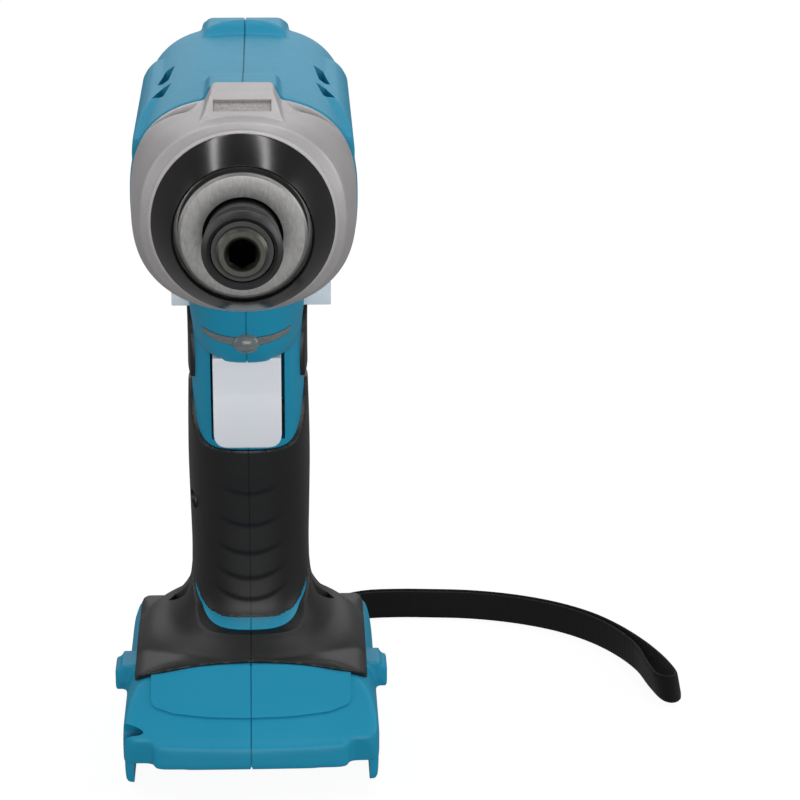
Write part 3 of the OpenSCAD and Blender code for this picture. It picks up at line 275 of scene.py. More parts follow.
def loft(shape, rings, close=False):
    """Skins a row of loops into one closed solid."""
    for a, b in zip(rings, rings[1:]):
        bmesh.ops.bridge_loops(shape, edges=a + b)
    if close:
        bmesh.ops.bridge_loops(shape, edges=rings[-1] + rings[0])
    else:
        bmesh.ops.contextual_create(shape, geom=rings[0])
        bmesh.ops.contextual_create(shape, geom=rings[-1])


def solid(shape):
    """A scratch object in millimetres; the shape is used up."""
    bmesh.ops.recalc_face_normals(shape, faces=shape.faces)
    mesh = bpy.data.meshes.new("scratch")
    shape.to_mesh(mesh)
    shape.free()
    piece = bpy.data.objects.new("scratch", mesh)
    scene.collection.objects.link(piece)
    return piece


def placed(piece, name, material, body, slot, *nodes, sharp=32):
    """Takes a scratch object to metres and hangs it on its body in place of its CAD nodes."""
    piece.name = name
    piece.data.name = name
    piece.data.transform(Matrix.Scale(mm, 4))
    piece.data.materials.clear()
    piece.data.materials.append(material)
    piece.data.shade_smooth()
    piece.data.set_sharp_from_angle(angle=math.radians(sharp))
    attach(piece, body)
    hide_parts(*nodes)
    return piece


def strap_rows():
    """Middle, outward side and lean of the webbing, out along its route and back."""
    route = [Vector((x, strap_pin.y + y, z)) for x, y, z in strap_points]
    last = len(route) - 1
    turn = strap_pin_radius + strap_pin_room + strap_thickness / 2
    out_rows = []
    back_rows = []
    for i, middle in enumerate(route):
        run = route[min(i + 1, last)] - route[max(i - 1, 0)]
        side = Vector((run.y, -run.x, 0)).normalized()
        half = turn if i == 0 else strap_spacing / 2 + strap_opening[i]
        out_rows.append([*(middle + half * side), *side, strap_lean[i]])
        back_rows.append([*(middle - half * side), *(-side), -strap_lean[i]])
    tip = (route[last] - route[last - 1]).normalized()
    tip_row = [*(route[last] + strap_tip * tip), *tip, 0]
    pin_rows = []
    for angle in range(180, 361, 45):
        out = Vector((math.cos(math.radians(angle)), math.sin(math.radians(angle)), 0))
        pin_rows.append([*(strap_pin + turn * out), *out, 0])
    return route, [*out_rows, tip_row, *reversed(back_rows), *pin_rows]


def strap_mesh(rows):
    """The webbing as a closed band of rounded section."""
    shape = bmesh.new()
    rings = []
    for x, y, z, sx, sy, sz, lean in rows:
        side = Vector((sx, sy, sz)).normalized()
        tilt = math.radians(lean)
        up = Vector((math.sin(tilt) * side.x, math.sin(tilt) * side.y, math.cos(tilt)))
        middle = Vector((x, y, z))

        def around(a, b, middle=middle, side=side, up=up):
            across = drawn(a, 0.6) * strap_thickness / 2
            rise = drawn(b, strap_flatness) * (strap_width / 2 + strap_selvage)
            return middle + across * side + rise * up

        rings.append(ring(shape, strap_sides, around))
    loft(shape, rings, close=True)
    return shape


def webbing_map(shape):
    """Lays a UV map on the band, in metres along and across it."""
    layer = shape.loops.layers.uv.new("webbing")
    shape.verts.index_update()
    for face in shape.faces:
        for loop in face.loops:
            row, spot = divmod(loop.vert.index, strap_sides)
            across = drawn(math.sin(math.tau * spot / strap_sides), strap_flatness)
            loop[layer].uv = (row * strap_row_length * mm, across * strap_width / 2 * mm)


def webbing():
    """Black woven webbing, ribbed across and corded along."""
    made, place = finish("strap_webbing", roughness=0.86, specular_ior_level=0.25,
                         sheen_weight=0.06, sheen_roughness=0.5)
    along = place.node("ShaderNodeUVMap", {"uv_map": "webbing"}, {})
    ribs = along.node("ShaderNodeTexWave", {"wave_type": "BANDS", "bands_direction": "X"},
                      {"Vector": along, "Scale": 420.0, "Distortion": 0.6, "Detail": 1.0})
    cords = along.node("ShaderNodeTexWave", {"wave_type": "BANDS", "bands_direction": "Y"},
                       {"Vector": along, "Scale": 330.0, "Distortion": 0.3, "Detail": 1.0})
    weave = ribs * 0.6 + cords * 0.4
    worn = place.noise(180.0, 3.0)
    tint = (weave * 0.6 + worn * 0.4).between(colour(2, 2, 3), colour(17, 15, 17))
    return dress(made, base_color=tint, normal=weave.bump(0.5, 0.0002))


strap_route, strap_line = strap_rows()
strap_shape = strap_mesh(eased(strap_line, 4, close=True))
webbing_map(strap_shape)
strap = placed(solid(strap_shape), "webbing_strap", webbing(), "housing", "webbing", "wrist_strap",
               sharp=60)
strap_path = [p * mm for p in strap_route]
strap_length = sum((b - a).length for a, b in zip(strap_path, strap_path[1:]))


# Body shells: two halves of blue glass-filled plastic, moulded and screwed together on X = 0.
# One skin holds motor housing, neck, grip core and foot, with a fine spark-eroded grain.
axis_height = 175
body_front = -20.5
body_rear = 70
case_radius = 29.7
body_half = 29.1
body_radius = 28.5
ridge_height = 3.2
ridge_half = 10.5
boss_height = 31
boss_half = 7.5
grip_half = 16
trigger_top = 127
trigger_low = 98.5
trigger_half = 9.6
lamp_height = 133
lever_low = axis_height - 37.6
lever_high = 6.2
foot_half = 36.1
foot_front = -27.5
foot_height = 35.5
bay_height = 10.4
rubber = 1.1
seam = 0.22
seam_root = 0.02
seam_lip = 2.5
beyond = 80
screw_seat = -6.5
voxel = 0.55
foot_soft = 24

head_rows = [
    (body_front, case_radius, body_radius - 1.5, case_radius - 2.4, 2.65),
    (body_front + 4, case_radius, body_radius - 1.3, case_radius - 2.2, 2.65),
    (body_front + 18, body_half + 0.2, body_radius - 0.8, body_radius - 0.8, 2.7),
    (body_front + 40, body_half, body_radius - 0.3, body_radius - 0.2, 2.75),
    (body_front + 66, body_half, body_radius, body_radius, 2.8),
    (body_rear - 13, body_half - 0.9, body_radius - 0.9, body_radius - 0.9, 2.8),
    (body_rear - 6.5, body_half - 3.6, body_radius - 3.6, body_radius - 3.6, 2.7),
    (body_rear - 2, body_half - 8.5, body_radius - 8.5, body_radius - 8.5, 2.6),
    (body_rear, body_half - 14, body_radius - 14, body_radius - 14, 2.4)]
neck_rows = [
    (trigger_top - 0.8, grip_half - 3.4, -12.7, 35, 2.5),
    (trigger_top + 3, grip_half - 1.4, -14.8, 35.6, 2.5),
    (lamp_height + 3, grip_half - 0.3, -16.4, 38, 2.5),
    (axis_height - 31, grip_half + 0.9, body_front + 2.5, body_rear - 28, 2.5),
    (axis_height - 25, grip_half + 3.9, body_front + 1.9, body_rear - 23, 2.5),
    (axis_height - 19, body_radius - 3.9, body_front + 1.3, body_rear - 18, 2.6),
    (axis_height - 13, body_radius - 1, body_front + 0.9, body_rear - 14, 2.8),
    (axis_height - 4, body_radius - 0.2, body_front + 0.9, body_rear - 13, 3)]
grip_rows = [
    (foot_height - 6, foot_half - 3.3, -10, foot_back - 5, 3),
    (foot_height - 2, grip_half + 12, -5, foot_back - 5.5, 2.8),
    (foot_height + 1, grip_half + 6.4, 0.6, foot_back - 6.5, 2.6),
    (foot_height + 5.5, grip_half + 2.6, 4.4, foot_back - 8.5, 2.5),
    (foot_height + 12, grip_half + 0.5, 6.2, 42.6, 2.4),
    (foot_height + 22, grip_half - 0.2, 6.4, 41.6, 2.4),
    (foot_height + 37, grip_half, 5, 40.6, 2.4),
    (foot_height + 52, grip_half + 0.2, 2.4, 39, 2.4),
    (trigger_low + 3, grip_half, 0.2, 37.2, 2.5),
    (trigger_low + 14, grip_half - 0.3, -1.6, 35.2, 2.6),
    (trigger_top + 2, grip_half - 0.4, -3, 35.4, 2.6),
    (lamp_height + 4, grip_half - 0.2, -3, 36, 2.6)]


def squared(value, squareness):
    """A point of a circle drawn towards the corner of a square."""
    return drawn(value, 2 / squareness)


def level_loft(shape, rows, grown=0.0, parts=5):
    """Solid through level sections of height, half width, front, back and squareness."""
    rings = []
    for height, half, front, back, power in eased(rows, parts):
        middle = (front + back) / 2
        reach = (back - front) / 2 + grown
        rings.append(ring(shape, 96, lambda a, b: Vector((
            (half + grown) * squared(a, power), middle + reach * squared(b, power), height))))
    loft(shape, rings)


def upright_loft(shape, rows, parts=5, lead=()):
    """Solid about the axis through upright sections: station, half width, rise, drop, power."""
    rings = []
    for station, half, rise, drop, power in [*lead, *eased(rows, parts)]:
        rings.append(ring(shape, 128, lambda a, b: Vector((
            half * squared(a, power), station,
            axis_height + (rise if b > 0 else drop) * squared(b, power)))))
    loft(shape, rings)


def prism(shape, axis, outline, low, high, soften=0.0):
    """An outline of points carried along an axis, its long edges rounded."""
    order = {"x": lambda a, b, c: (c, a, b), "y": lambda a, b, c: (a, c, b),
             "z": lambda a, b, c: (a, b, c)}[axis]
    face = shape.faces.new([shape.verts.new(order(a, b, low)) for a, b in outline])
    near = set(face.verts)
    made = bmesh.ops.extrude_face_region(shape, geom=[face])["geom"]
    far = {g for g in made if isinstance(g, bmesh.types.BMVert)}
    bmesh.ops.translate(shape, verts=list(far), vec=order(0, 0, high - low))
    if soften:
        long_edges = [e for v in near for e in v.link_edges if e.other_vert(v) in far]
        bmesh.ops.bevel(shape, geom=long_edges, offset=soften, offset_type="OFFSET", segments=4,
                        profile=0.5, affect="EDGES", material=-1, clamp_overlap=True)


def block(shape, x0, x1, y0, y1, z0, z1, cells=9):
    """A box between two corners, its faces in small cells; X may run either way."""
    middle = Vector(((x0 + x1) / 2, (y0 + y1) / 2, (z0 + z1) / 2))
    sizes = Matrix.Diagonal((abs(x1 - x0), y1 - y0, z1 - z0, 1))
    verts = bmesh.ops.create_cube(shape, size=1, matrix=Matrix.Translation(middle) @ sizes)["verts"]
    edges = list({e for v in verts for e in v.link_edges})
    bmesh.ops.subdivide_edges(shape, edges=edges, cuts=cells, use_grid_fill=True)


def rod(shape, start, end, radius, sides=64):
    """A round bar between two points."""
    run = Vector(end) - Vector(start)
    turn = run.to_track_quat("Z", "Y").to_matrix().to_4x4()
    middle = Matrix.Translation((Vector(start) + Vector(end)) / 2)
    bmesh.ops.create_cone(shape, cap_ends=True, segments=sides, radius1=radius, radius2=radius,
                          depth=run.length, matrix=middle @ turn)


def mirrored(points):
    """An outline from its right half, which starts and ends on X = 0."""
    return list(points) + [(-x, z) for x, z in reversed(points) if x > 0]


def changed(piece, kind, **settings):
    """Applies one modifier to a scratch object."""
    modifier = piece.modifiers.new("change", kind)
    for key, value in settings.items():
        setattr(modifier, key, value)
    graph = bpy.context.evaluated_depsgraph_get()
    mesh = bpy.data.meshes.new_from_object(piece.evaluated_get(graph))
    piece.modifiers.clear()
    old = piece.data
    piece.data = mesh
    bpy.data.meshes.remove(old)
    return piece


def cut(piece, tool, operation="DIFFERENCE", keep=False):
    """Cuts a scratch object with another, which is used up unless it is kept."""
    changed(piece, "BOOLEAN", object=tool, operation=operation, solver="MANIFOLD")
    if not keep:
        bpy.data.objects.remove(tool)
    return piece


def copied(piece):
    """A second scratch object of the same mesh."""
    twin = piece.copy()
    twin.data = piece.data.copy()
    scene.collection.objects.link(twin)
    return twin


def fused(piece, size, soft=4):
    """Melts overlapping solids into one skin and softens its edges."""
    changed(piece, "REMESH", mode="VOXEL", voxel_size=size, adaptivity=0.0)
    return changed(piece, "SMOOTH", factor=0.5, iterations=soft)


def corner_hollow(side):
    """The hollow in a lower corner of the visor, beside its lip."""
    profile = bmesh.new()
    prism(profile, "x", [(-60, -5), (foot_front + 5.5, -5), (foot_front + 5.5, 10),
                         (foot_front + 3.9, 15.5), (foot_front + 3.2, 18), (foot_front + 3, 19.4),
                         (-60, 60)], -60, 60)
    plan = bmesh.new()
    prism(plan, "z", [(side * x, y) for x, y in
                      ((60, -60), (60, 0), (foot_half - 5.1, 0), (foot_half - 5.1, foot_front + 6.8),
                       (foot_half - 7.3, foot_front + 5.6), (foot_half - 8.5, foot_front + 3.8),
                       (foot_half - 8.9, foot_front + 1), (foot_half - 8.9, -60))], -6, 64)
    return cut(solid(profile), solid(plan), "INTERSECT")


def foot_solid(lift=0.0):
    """The foot as the common part of its side, front and top outlines."""
    profile = bmesh.new()
    prism(profile, "x", [(-14.5, 0), (foot_back - 1.5, 0), (foot_back, 2), (foot_back, 21),
                         (foot_back - 1.5, 26 + lift), (foot_back - 6, foot_height - 6 + lift),
                         (24, foot_height - 2 + lift), (8, foot_height - 1 + lift),
                         (-8, foot_height - 2.6 + lift), (foot_front + 2.9, 18.7 + lift),
                         (foot_front + 0.3, 17.4 + lift), (foot_front, 16.6 + lift),
                         (foot_front, bay_height), (-15.5, bay_height - 1), (-15.1, 1.6)],
          -50, 50, 0.6)
    front = bmesh.new()
    prism(front, "y", mirrored([(0, -1), (foot_half - 0.5, -1), (foot_half, 4), (foot_half, 18),
                                (foot_half - 0.7, 24 + lift), (foot_half - 2.2, 28 + lift),
                                (foot_half - 5, 30.8 + lift), (foot_half - 11, 32.6 + lift),
                                (0, foot_height + lift)]), -60, 90, 1.5)
    top = bmesh.new()
    prism(top, "z", mirrored([(0, foot_front), (foot_half - 20, foot_front + 0.4),
                              (foot_half - 12, foot_front + 0.9),
                              (foot_half - 7.5, foot_front + 1.6),
                              (foot_half - 2.4, foot_front + 3.2),
                              (foot_half - 0.3, foot_front + 5.6), (foot_half, foot_front + 9),
                              (foot_half, foot_back - 8), (foot_half - 2, foot_back - 3),
                              (foot_half - 6, foot_back - 0.6), (foot_half - 12, foot_back),
                              (0, foot_back)]), -2, foot_height + 4, 1.5)
    body = solid(profile)
    cut(body, solid(front), "INTERSECT")
    cut(body, solid(top), "INTERSECT")
    for side in (-1, 1):
        cut(body, corner_hollow(side))
    return body


def joined(pieces):
    """Several scratch objects as one, with their skins left as they are."""
    shape = bmesh.new()
    for piece in pieces:
        shape.from_mesh(piece.data)
        bpy.data.objects.remove(piece)
    mesh = bpy.data.meshes.new("scratch")
    shape.to_mesh(mesh)
    shape.free()
    piece = bpy.data.objects.new("scratch", mesh)
    scene.collection.objects.link(piece)
    return piece


def visor_panel():
    """The low oval panel on the front slope of the foot, its rim square to the slope."""
    tilt = math.atan2(foot_height - 2.6 - 18.7, -8 - foot_front - 2.9)
    rim = [(0, 8), (28.2, 8), (28.2, -9.7), (27.4, -11.6), (22, -13.8), (12, -15.1), (0, -15.5)]
    plan = bmesh.new()
    prism(plan, "z", mirrored(rim), -9, 9, 0.8)
    bmesh.ops.transform(plan, verts=plan.verts, matrix=Matrix.Translation(
        (0, -8, foot_height - 2.6)) @ Matrix.Rotation(tilt, 4, "X"))
    return cut(foot_solid(0.75), solid(plan), "INTERSECT")


def housing_skin():
    """The outside of both shells in one, before they are parted."""
    shape = bmesh.new()
    upright_loft(shape, head_rows)
    level_loft(shape, neck_rows)
    level_loft(shape, grip_rows)
    for side in (-1, 1):
        root = side * (foot_half - 4)
        block(shape, root, side * (foot_half + 2.9), 1.4, 10.6, 21.9, 28.4)
        block(shape, root, side * (foot_half + 1.0), 1.0, 11.0, 24, 29.8)
    skin = solid(shape)

    ridge_front = bmesh.new()
    high = axis_height + body_radius + ridge_height
    prism(ridge_front, "y", mirrored([(0, axis_height + 20), (ridge_half + 3, axis_height + 20),
                                      (ridge_half + 1.6, high - 4.4), (ridge_half, high - 2),
                                      (ridge_half - 1, high - 1.3), (ridge_half - 4.5, high - 0.4),
                                      (0, high)]), 38, body_rear)
    ridge_side = bmesh.new()
    prism(ridge_side, "x", [(40, axis_height + 20), (body_rear - 3, axis_height + 20),
                            (body_rear - 3, axis_height + 24), (body_rear - 7, high - 4),
                            (body_rear - 13, high - 1.4), (48, high), (46, high - 1),
                            (42.5, high - ridge_height - 1)], -20, 20)
    ridge = cut(solid(ridge_front), solid(ridge_side), "INTERSECT")

    brow_front = bmesh.new()
    low = axis_height + boss_height - 0.9
    prism(brow_front, "y", mirrored([(0, axis_height + 20), (boss_half + 6, axis_height + 20),
                                     (boss_half + 1.2, low - 0.6), (boss_half + 0.2, low),
                                     (0, low)]), body_front, body_front + 22)
    brow_side = bmesh.new()
    prism(brow_side, "x", [(body_front, axis_height + 20), (body_front + 21, axis_height + 20),
                           (body_front + 20, axis_height + 26), (body_front + 13, low),
                           (body_front, low)], -20, 20)
    brow = cut(solid(brow_front), solid(brow_side), "INTERSECT")

    pods_front = bmesh.new()
    for side in (-1, 1):
        outline = [(side * x, axis_height + z) for x, z in
                   ((20.6, 4), (28.6, 4), (29, 12), (28.5, 16.6), (27, 19.5), (25, 21.7),
                    (22.7, 22.5), (20.6, 21.6))]
        prism(pods_front, "y", outline, body_front, 44, 0.8)
    pods_side = bmesh.new()
    prism(pods_side, "x", [(body_front, axis_height), (44, axis_height), (44, axis_height + 14),
                           (40, axis_height + 24), (2, axis_height + 24),
                           (body_front, axis_height + 16)], -40, 40)
    pods = cut(solid(pods_front), solid(pods_side), "INTERSECT")
    foot = fused(foot_solid(), voxel, foot_soft)
    return fused(joined([skin, ridge, brow, pods, foot]), voxel)


def lamp_band(grown):
    """Outline of the job lamp's strip, seen from the front."""
    upper = [(0, 1.6), (5, 1.8), (9, 2.3), (13.4, 3.0)]
    lower = [(13.3, 1.9), (9, 0.3), (5, -0.5), (0, -0.7)]
    right = [(x + (grown if x > 10 else 0), lamp_height + z + grown) for x, z in upper]
    right += [(x + (grown if x > 10 else 0), lamp_height + z - grown) for x, z in lower]
    return mirrored(right)


def box_union(rows):
    """Overlapping boxes as one solid."""
    whole = None
    for row in rows:
        shape = bmesh.new()
        block(shape, *row)
        whole = cut(whole, solid(shape), "UNION") if whole else solid(shape)
    return whole


def shell_openings():
    """What is cut out of the skin: trigger well, lever slot and lamp slot."""
    well = trigger_half + 0.6
    openings = box_union((
        (-well, well, -40, 10.2, trigger_low - 0.4, trigger_top - 3),
        (-well, well, -11.4, 10.2, trigger_top - 3.2, trigger_top + 0.5),
        (-60, 60, 2.7, 13.3, lever_low - 0.3, lever_low + lever_high + 0.3)))
    shape = bmesh.new()
    prism(shape, "y", lamp_band(0.12), -30, -9.4)
    return cut(openings, solid(shape), "UNION")


def bay_openings():
    """The battery bay with its rails, open to the front."""
    near = foot_front - 5
    rows = ((foot_half - 2.6, foot_back - 8, 4.2, bay_height),
            (foot_half - 6.6, foot_back - 8, -2, 5), (foot_half - 2.6, 2, -2, 5),
            (foot_half + 5, foot_front + 9, -2, 7.5))
    return box_union([(-half, half, near, far, low, high, 16) for half, far, low, high in rows])


def vents():
    """Slanted air slots in the shoulders and level ones near the back."""
    shape = bmesh.new()
    for side in (-1, 1):
        for outline in (((18.8, 22.4), (21.4, 22.4), (23.2, 10.6), (20.2, 10.6)),
                        ((19.2, 5.6), (21.8, 5.6), (24.3, -2.8), (21, -2.8))):
            prism(shape, "z", [(side * x, y) for x, y in outline], axis_height + 19.4,
                  axis_height + 30)
        for level in range(4):
            low = axis_height - 12.2 + 6.5 * level
            block(shape, side * 19, side * 34, 50.2, 58, low, low + 3.4)
    return solid(shape)


grip_screws = [(14, 76, 3.0), (38.5, 52, 3.0)]
screw_places = [(body_rear - 8, axis_height + 17, 3.0), (body_rear - 8, axis_height - 17, 3.0),
                (40.5, axis_height - body_radius, 3.0), *grip_screws, (foot_front + 8, 18.2, 3.0),
                (foot_back - 5, 25, 2.4), (33, axis_height - 47, 3.0)]


def screw_recesses():
    """Round recesses down to the screw heads, on the left side only, and a slanted one in front."""
    shape = bmesh.new()
    for y, z, radius in screw_places:
        rod(shape, (-60, y, z), (screw_seat, y, z), radius)
    slanted = bmesh.new()
    rod(slanted, (-60, foot_front + 6.2, 28.2), (-29.5, foot_front + 6.2, 18.6), 2.0)
    return cut(solid(shape), solid(slanted), "UNION")


def shell_hollow(inner):
    """Bores and pockets that the inner pieces sit in; the pockets leave a wall all round."""
    hollow = box_union((
        (-9.7, 9.7, 8.8, 33.2, 97.8, 122.2), (-8, 8, 12, 32, 122, 133), (-8, 8, 4, 16, 122.2, 139.4),
        (-9, 9, 19, 34, 21.4, 98), (-10, 10, 14, 30, 122, 151), (-12, 12, 29, 37, 141.5, 160),
        (-27.6, 27.6, -7, 42, 13.4, 25.4)))
    cut(hollow, inner, "INTERSECT", keep=True)
    mouths = box_union((
        (-8.8, 8.8, 8, 14, 101, 119), (-13, 13, 30, 41.5, 9.4, 14.4),
        (-6.1, 6.1, -12, -9.7, 130.3, 135.7), (-6, 5, 9.2, 13.2, 122.8, 138.4)))
    cut(hollow, mouths, "UNION")
    for radius, start, end in ((26.05, -22, 18.05), (24.1, 17.9, 53.2), (22.6, 53.1, 58.4),
                               (6.95, 58.3, 63.1), (3.5, 63, 64)):
        shape = bmesh.new()
        rod(shape, (0, start, axis_height), (0, end, axis_height), radius, 96)
        cut(hollow, solid(shape), "UNION")
    return hollow


def slab(side, near, far):
    """A tall box on one side of the seam, between two distances from it."""
    shape = bmesh.new()
    block(shape, side * near, side * far, -120, 160, -20, 240, 60)
    return solid(shape)


def blue_plastic():
    """Moulded blue with a fine matt grain and faint scuffs."""
    made, place = finish("blue_plastic", specular_ior_level=0.36)
    grain = place.noise(2600.0, 2.0, 0.55)
    cloud = place.noise(45.0, 2.0)
    scuff = place.stretched((1, 1, 0.25)).noise(400.0, 3.0)
    tint = (cloud * 0.7 + grain * 0.3).between((0.003, 0.232, 0.385, 1), (0.006, 0.275, 0.445, 1))
    rough = 0.42 + scuff * 0.10 + grain * 0.06
    return dress(made, base_color=tint, roughness=rough, normal=grain.bump(0.22, 0.00006))


def seam_floor(inner, side):
    """The part of the thinner skin that closes the seam a little below the surface."""
    return cut(copied(inner), slab(side, seam_root, seam_lip), "INTERSECT")


blue = blue_plastic()
skin = housing_skin()
cut(skin, shell_openings())
cut(skin, bay_openings())
changed(skin, "SMOOTH", factor=0.4, iterations=1)
cut(skin, visor_panel(), "UNION")
whole_skin = copied(skin)
inner_skin = changed(copied(skin), "DISPLACE", strength=-0.9, mid_level=0.0)
cut(skin, vents())
cut(skin, shell_hollow(inner_skin))
bpy.data.objects.remove(inner_skin)
thin_skin = changed(copied(skin), "DISPLACE", strength=-0.5, mid_level=0.0)
right_skin = copied(skin)
strap_mouth = bmesh.new()
block(strap_mouth, strap_pin.x - 6.5, strap_pin.x + 6.5, strap_pin.y - 3.4, 90, 4, 17.5)
cut(right_skin, solid(strap_mouth))
cut(right_skin, slab(1, seam, beyond), "INTERSECT")
cut(right_skin, seam_floor(thin_skin, 1), "UNION")
cut(skin, screw_recesses())
cut(skin, slab(-1, seam, beyond), "INTERSECT")
cut(skin, seam_floor(thin_skin, -1), "UNION")
bpy.data.objects.remove(thin_skin)
placed(skin, "shell_left", blue, "housing", "blue_plastic", "housing_left")
placed(right_skin, "shell_right", blue, "housing", "blue_plastic", "housing_right")


# Rubber: soft black pads moulded on to the shells: small ones under the lever, the grip's own
# and a collar over the foot. They stand about a millimetre proud and part on the seam.
rubber_seam = 0.15
flare_lift = 1.4
collar_extra = 0.6
finger_steps = (82.7, 72.3, 63.3, 55.4, 48.9, 41.0)
finger_half = 11.5
finger_depth = 0.5
finger_sag = 0.035
finger_edge = 1.8


def curve(start, pull, end, parts=8):
    """Points of a bend from start to end, drawn towards pull."""
    out = []
    for i in range(parts + 1):
        t = i / parts
        out.append(tuple((1 - t) ** 2 * a + 2 * t * (1 - t) * b + t * t * c
                         for a, b, c in zip(start, pull, end)))
    return out


web_outline = (curve((7.4, 115.4), (5.6, 122), (8, 128))
               + curve((8.4, 128.6), (10, 133), (14, 136)) + [(60, 136), (60, 118.4), (17, 117)]
               + curve((16.6, 117), (10, 116.5), (7.6, 115)))
grip_outline = ([(-30, 43)] + curve((4.6, 43), (8.5, 44.4), (12, 46.8))
                + curve((12.4, 47.2), (17, 50.2), (24.3, 55))
                + curve((24.6, 55.2), (34, 64.6), (60, 72))
                + [(60, 113.4), (17, 112)] + curve((16.4, 112), (11.5, 111.5), (9.4, 106))
                + curve((9.2, 105.4), (7, 96.4), (2.6, 95.8)) + [(-30, 95.6)])
collar_outline = ([(-20, 10), (60, 10)] + curve((60, 69.4), (35, 62), (25, 51.3))
                  + curve((24.6, 51), (20, 47.8), (12, 44.5))
                  + curve((11.6, 44.3), (6.5, 39.8), (2.4, 39.2)) + [(-20, 38.6)])
collar_plan = mirrored([(0, -6.4), (9, -7), (18, -8.5), (25, -10)]
                       + curve((30.5, -10.8), (32.8, -10.9), (33, -8.2))
                       + curve((33.2, foot_back - 10), (32.5, foot_back - 3.5), (24, foot_back - 3))
                       + [(0, foot_back - 3)])


def grown_skin():
    """Grip, neck and foot, thicker all round by the rubber."""
    shape = bmesh.new()
    flare = [(level + (flare_lift if level < foot_height + 6 else 0), *rest)
             for level, *rest in grip_rows]
    level_loft(shape, neck_rows, rubber)
    level_loft(shape, flare, rubber)
    foot = fused(foot_solid(rubber + collar_extra), voxel, foot_soft)
    return fused(joined([solid(shape), foot]), voxel)


def within(piece, axis, outline, low, high, lean=0.0):
    """Keeps the part of a scratch object that lies in an outline, whose front may lean out."""
    shape = bmesh.new()
    prism(shape, axis, outline, low, high)
    for v in shape.verts:
        if v.co.y < 0:
            v.co.y -= lean * (v.co.z - foot_height + 2.3)
    return cut(piece, solid(shape), "INTERSECT")


def rubber_keep_out():
    """Room for the trigger, the lever and the screws."""
    shape = bmesh.new()
    block(shape, -trigger_half - 1, trigger_half + 1, -40, 8.8, trigger_low - 0.4, trigger_top + 1)
    wells = solid(shape)
    slot = bmesh.new()
    block(slot, -60, 60, 2, 14, lever_low - 1, lever_low + lever_high + 1)
    cut(wells, solid(slot), "UNION")
    for y, z, radius in grip_screws:
        bar = bmesh.new()
        rod(bar, (-60, y, z), (screw_seat, y, z), radius - 0.4)
        cut(wells, solid(bar), "UNION")
    for side in (-1, 1):
        slit = bmesh.new()
        turn = Matrix.Rotation(math.radians(side * 60), 4, "Z")
        bmesh.ops.create_cube(slit, size=1, matrix=Matrix.Translation((side * 20.9, 25.7, 40.5)) @ turn
                              @ Matrix.Diagonal((10.4, 2.4, 24, 1)))
        cut(wells, solid(slit), "UNION")
    return wells


def finger_waves(piece):
    """Presses shallow overlapping steps into the front of the grip."""
    for v in piece.data.vertices:
        front = max(0.0, 1 - (abs(v.co.x) / finger_half) ** 4)
        if v.co.y > 14 or not front:
            continue
        level = v.co.z - finger_sag * v.co.x ** 2
        depth = 0.0
        for upper, lower in zip(finger_steps, finger_steps[1:]):
            if lower < level <= upper:
                rise = (upper - level) / (upper - lower)
                edge = min(1.0, (upper - level) / finger_edge)
                depth = finger_depth * (1 - rise) ** 1.4 * edge * edge * (3 - 2 * edge)
        v.co.y += depth * front


def black_rubber():
    """Soft black with a fine moulded grain."""
    made, place = finish("black_rubber", specular_ior_level=0.5)
    grain = place.noise(2100.0, 2.0, 0.6)
    cloud = place.noise(60.0, 3.0)
    tint = (cloud * 0.6 + grain * 0.4).between(colour(5, 5, 6), colour(17, 17, 18))
    rough = 0.40 + cloud * 0.10 + grain * 0.05
    return dress(made, base_color=tint, roughness=rough, normal=grain.bump(0.3, 0.00008))


rubber_black = black_rubber()
fat_skin = grown_skin()
keep_out = rubber_keep_out()
pads = {
    "web_pad": within(copied(fat_skin), "x", web_outline, -60, 60),
    "grip_pad": within(copied(fat_skin), "x", grip_outline, -60, 60),
    "foot_collar": within(within(copied(fat_skin), "x", collar_outline, -60, 60),
                          "z", collar_plan, foot_height - 8, 100, 0.5)}
for name, pad in pads.items():
    fused(pad, voxel * 0.8, 2)
    if name == "grip_pad":
        finger_waves(pad)
    cut(pad, whole_skin, keep=True)
    if name == "grip_pad":
        lining = bmesh.new()
        y, z, radius = grip_screws[0]
        rod(lining, (-grip_half + 0.5, y, z), (-9, y, z), radius - 0.05)
        cut(pad, solid(lining), "UNION")
    cut(pad, keep_out, keep=True)
    thin_pad = changed(copied(pad), "DISPLACE", strength=-0.3, mid_level=0.0)
    for side, word in ((-1, "left"), (1, "right")):
        gap = grip_half - 4 if name == "web_pad" else rubber_seam
        half = cut(copied(pad), slab(side, gap, beyond), "INTERSECT")
        if name != "web_pad":
            cut(half, seam_floor(thin_pad, side), "UNION")
        placed(half, f"rubber_{name}_{word}", rubber_black, "housing", "black_rubber",
               f"{name}_{word}")
    bpy.data.objects.remove(pad)
    bpy.data.objects.remove(thin_pad)
for scratch in (fat_skin, keep_out, whole_skin):
    bpy.data.objects.remove(scratch)


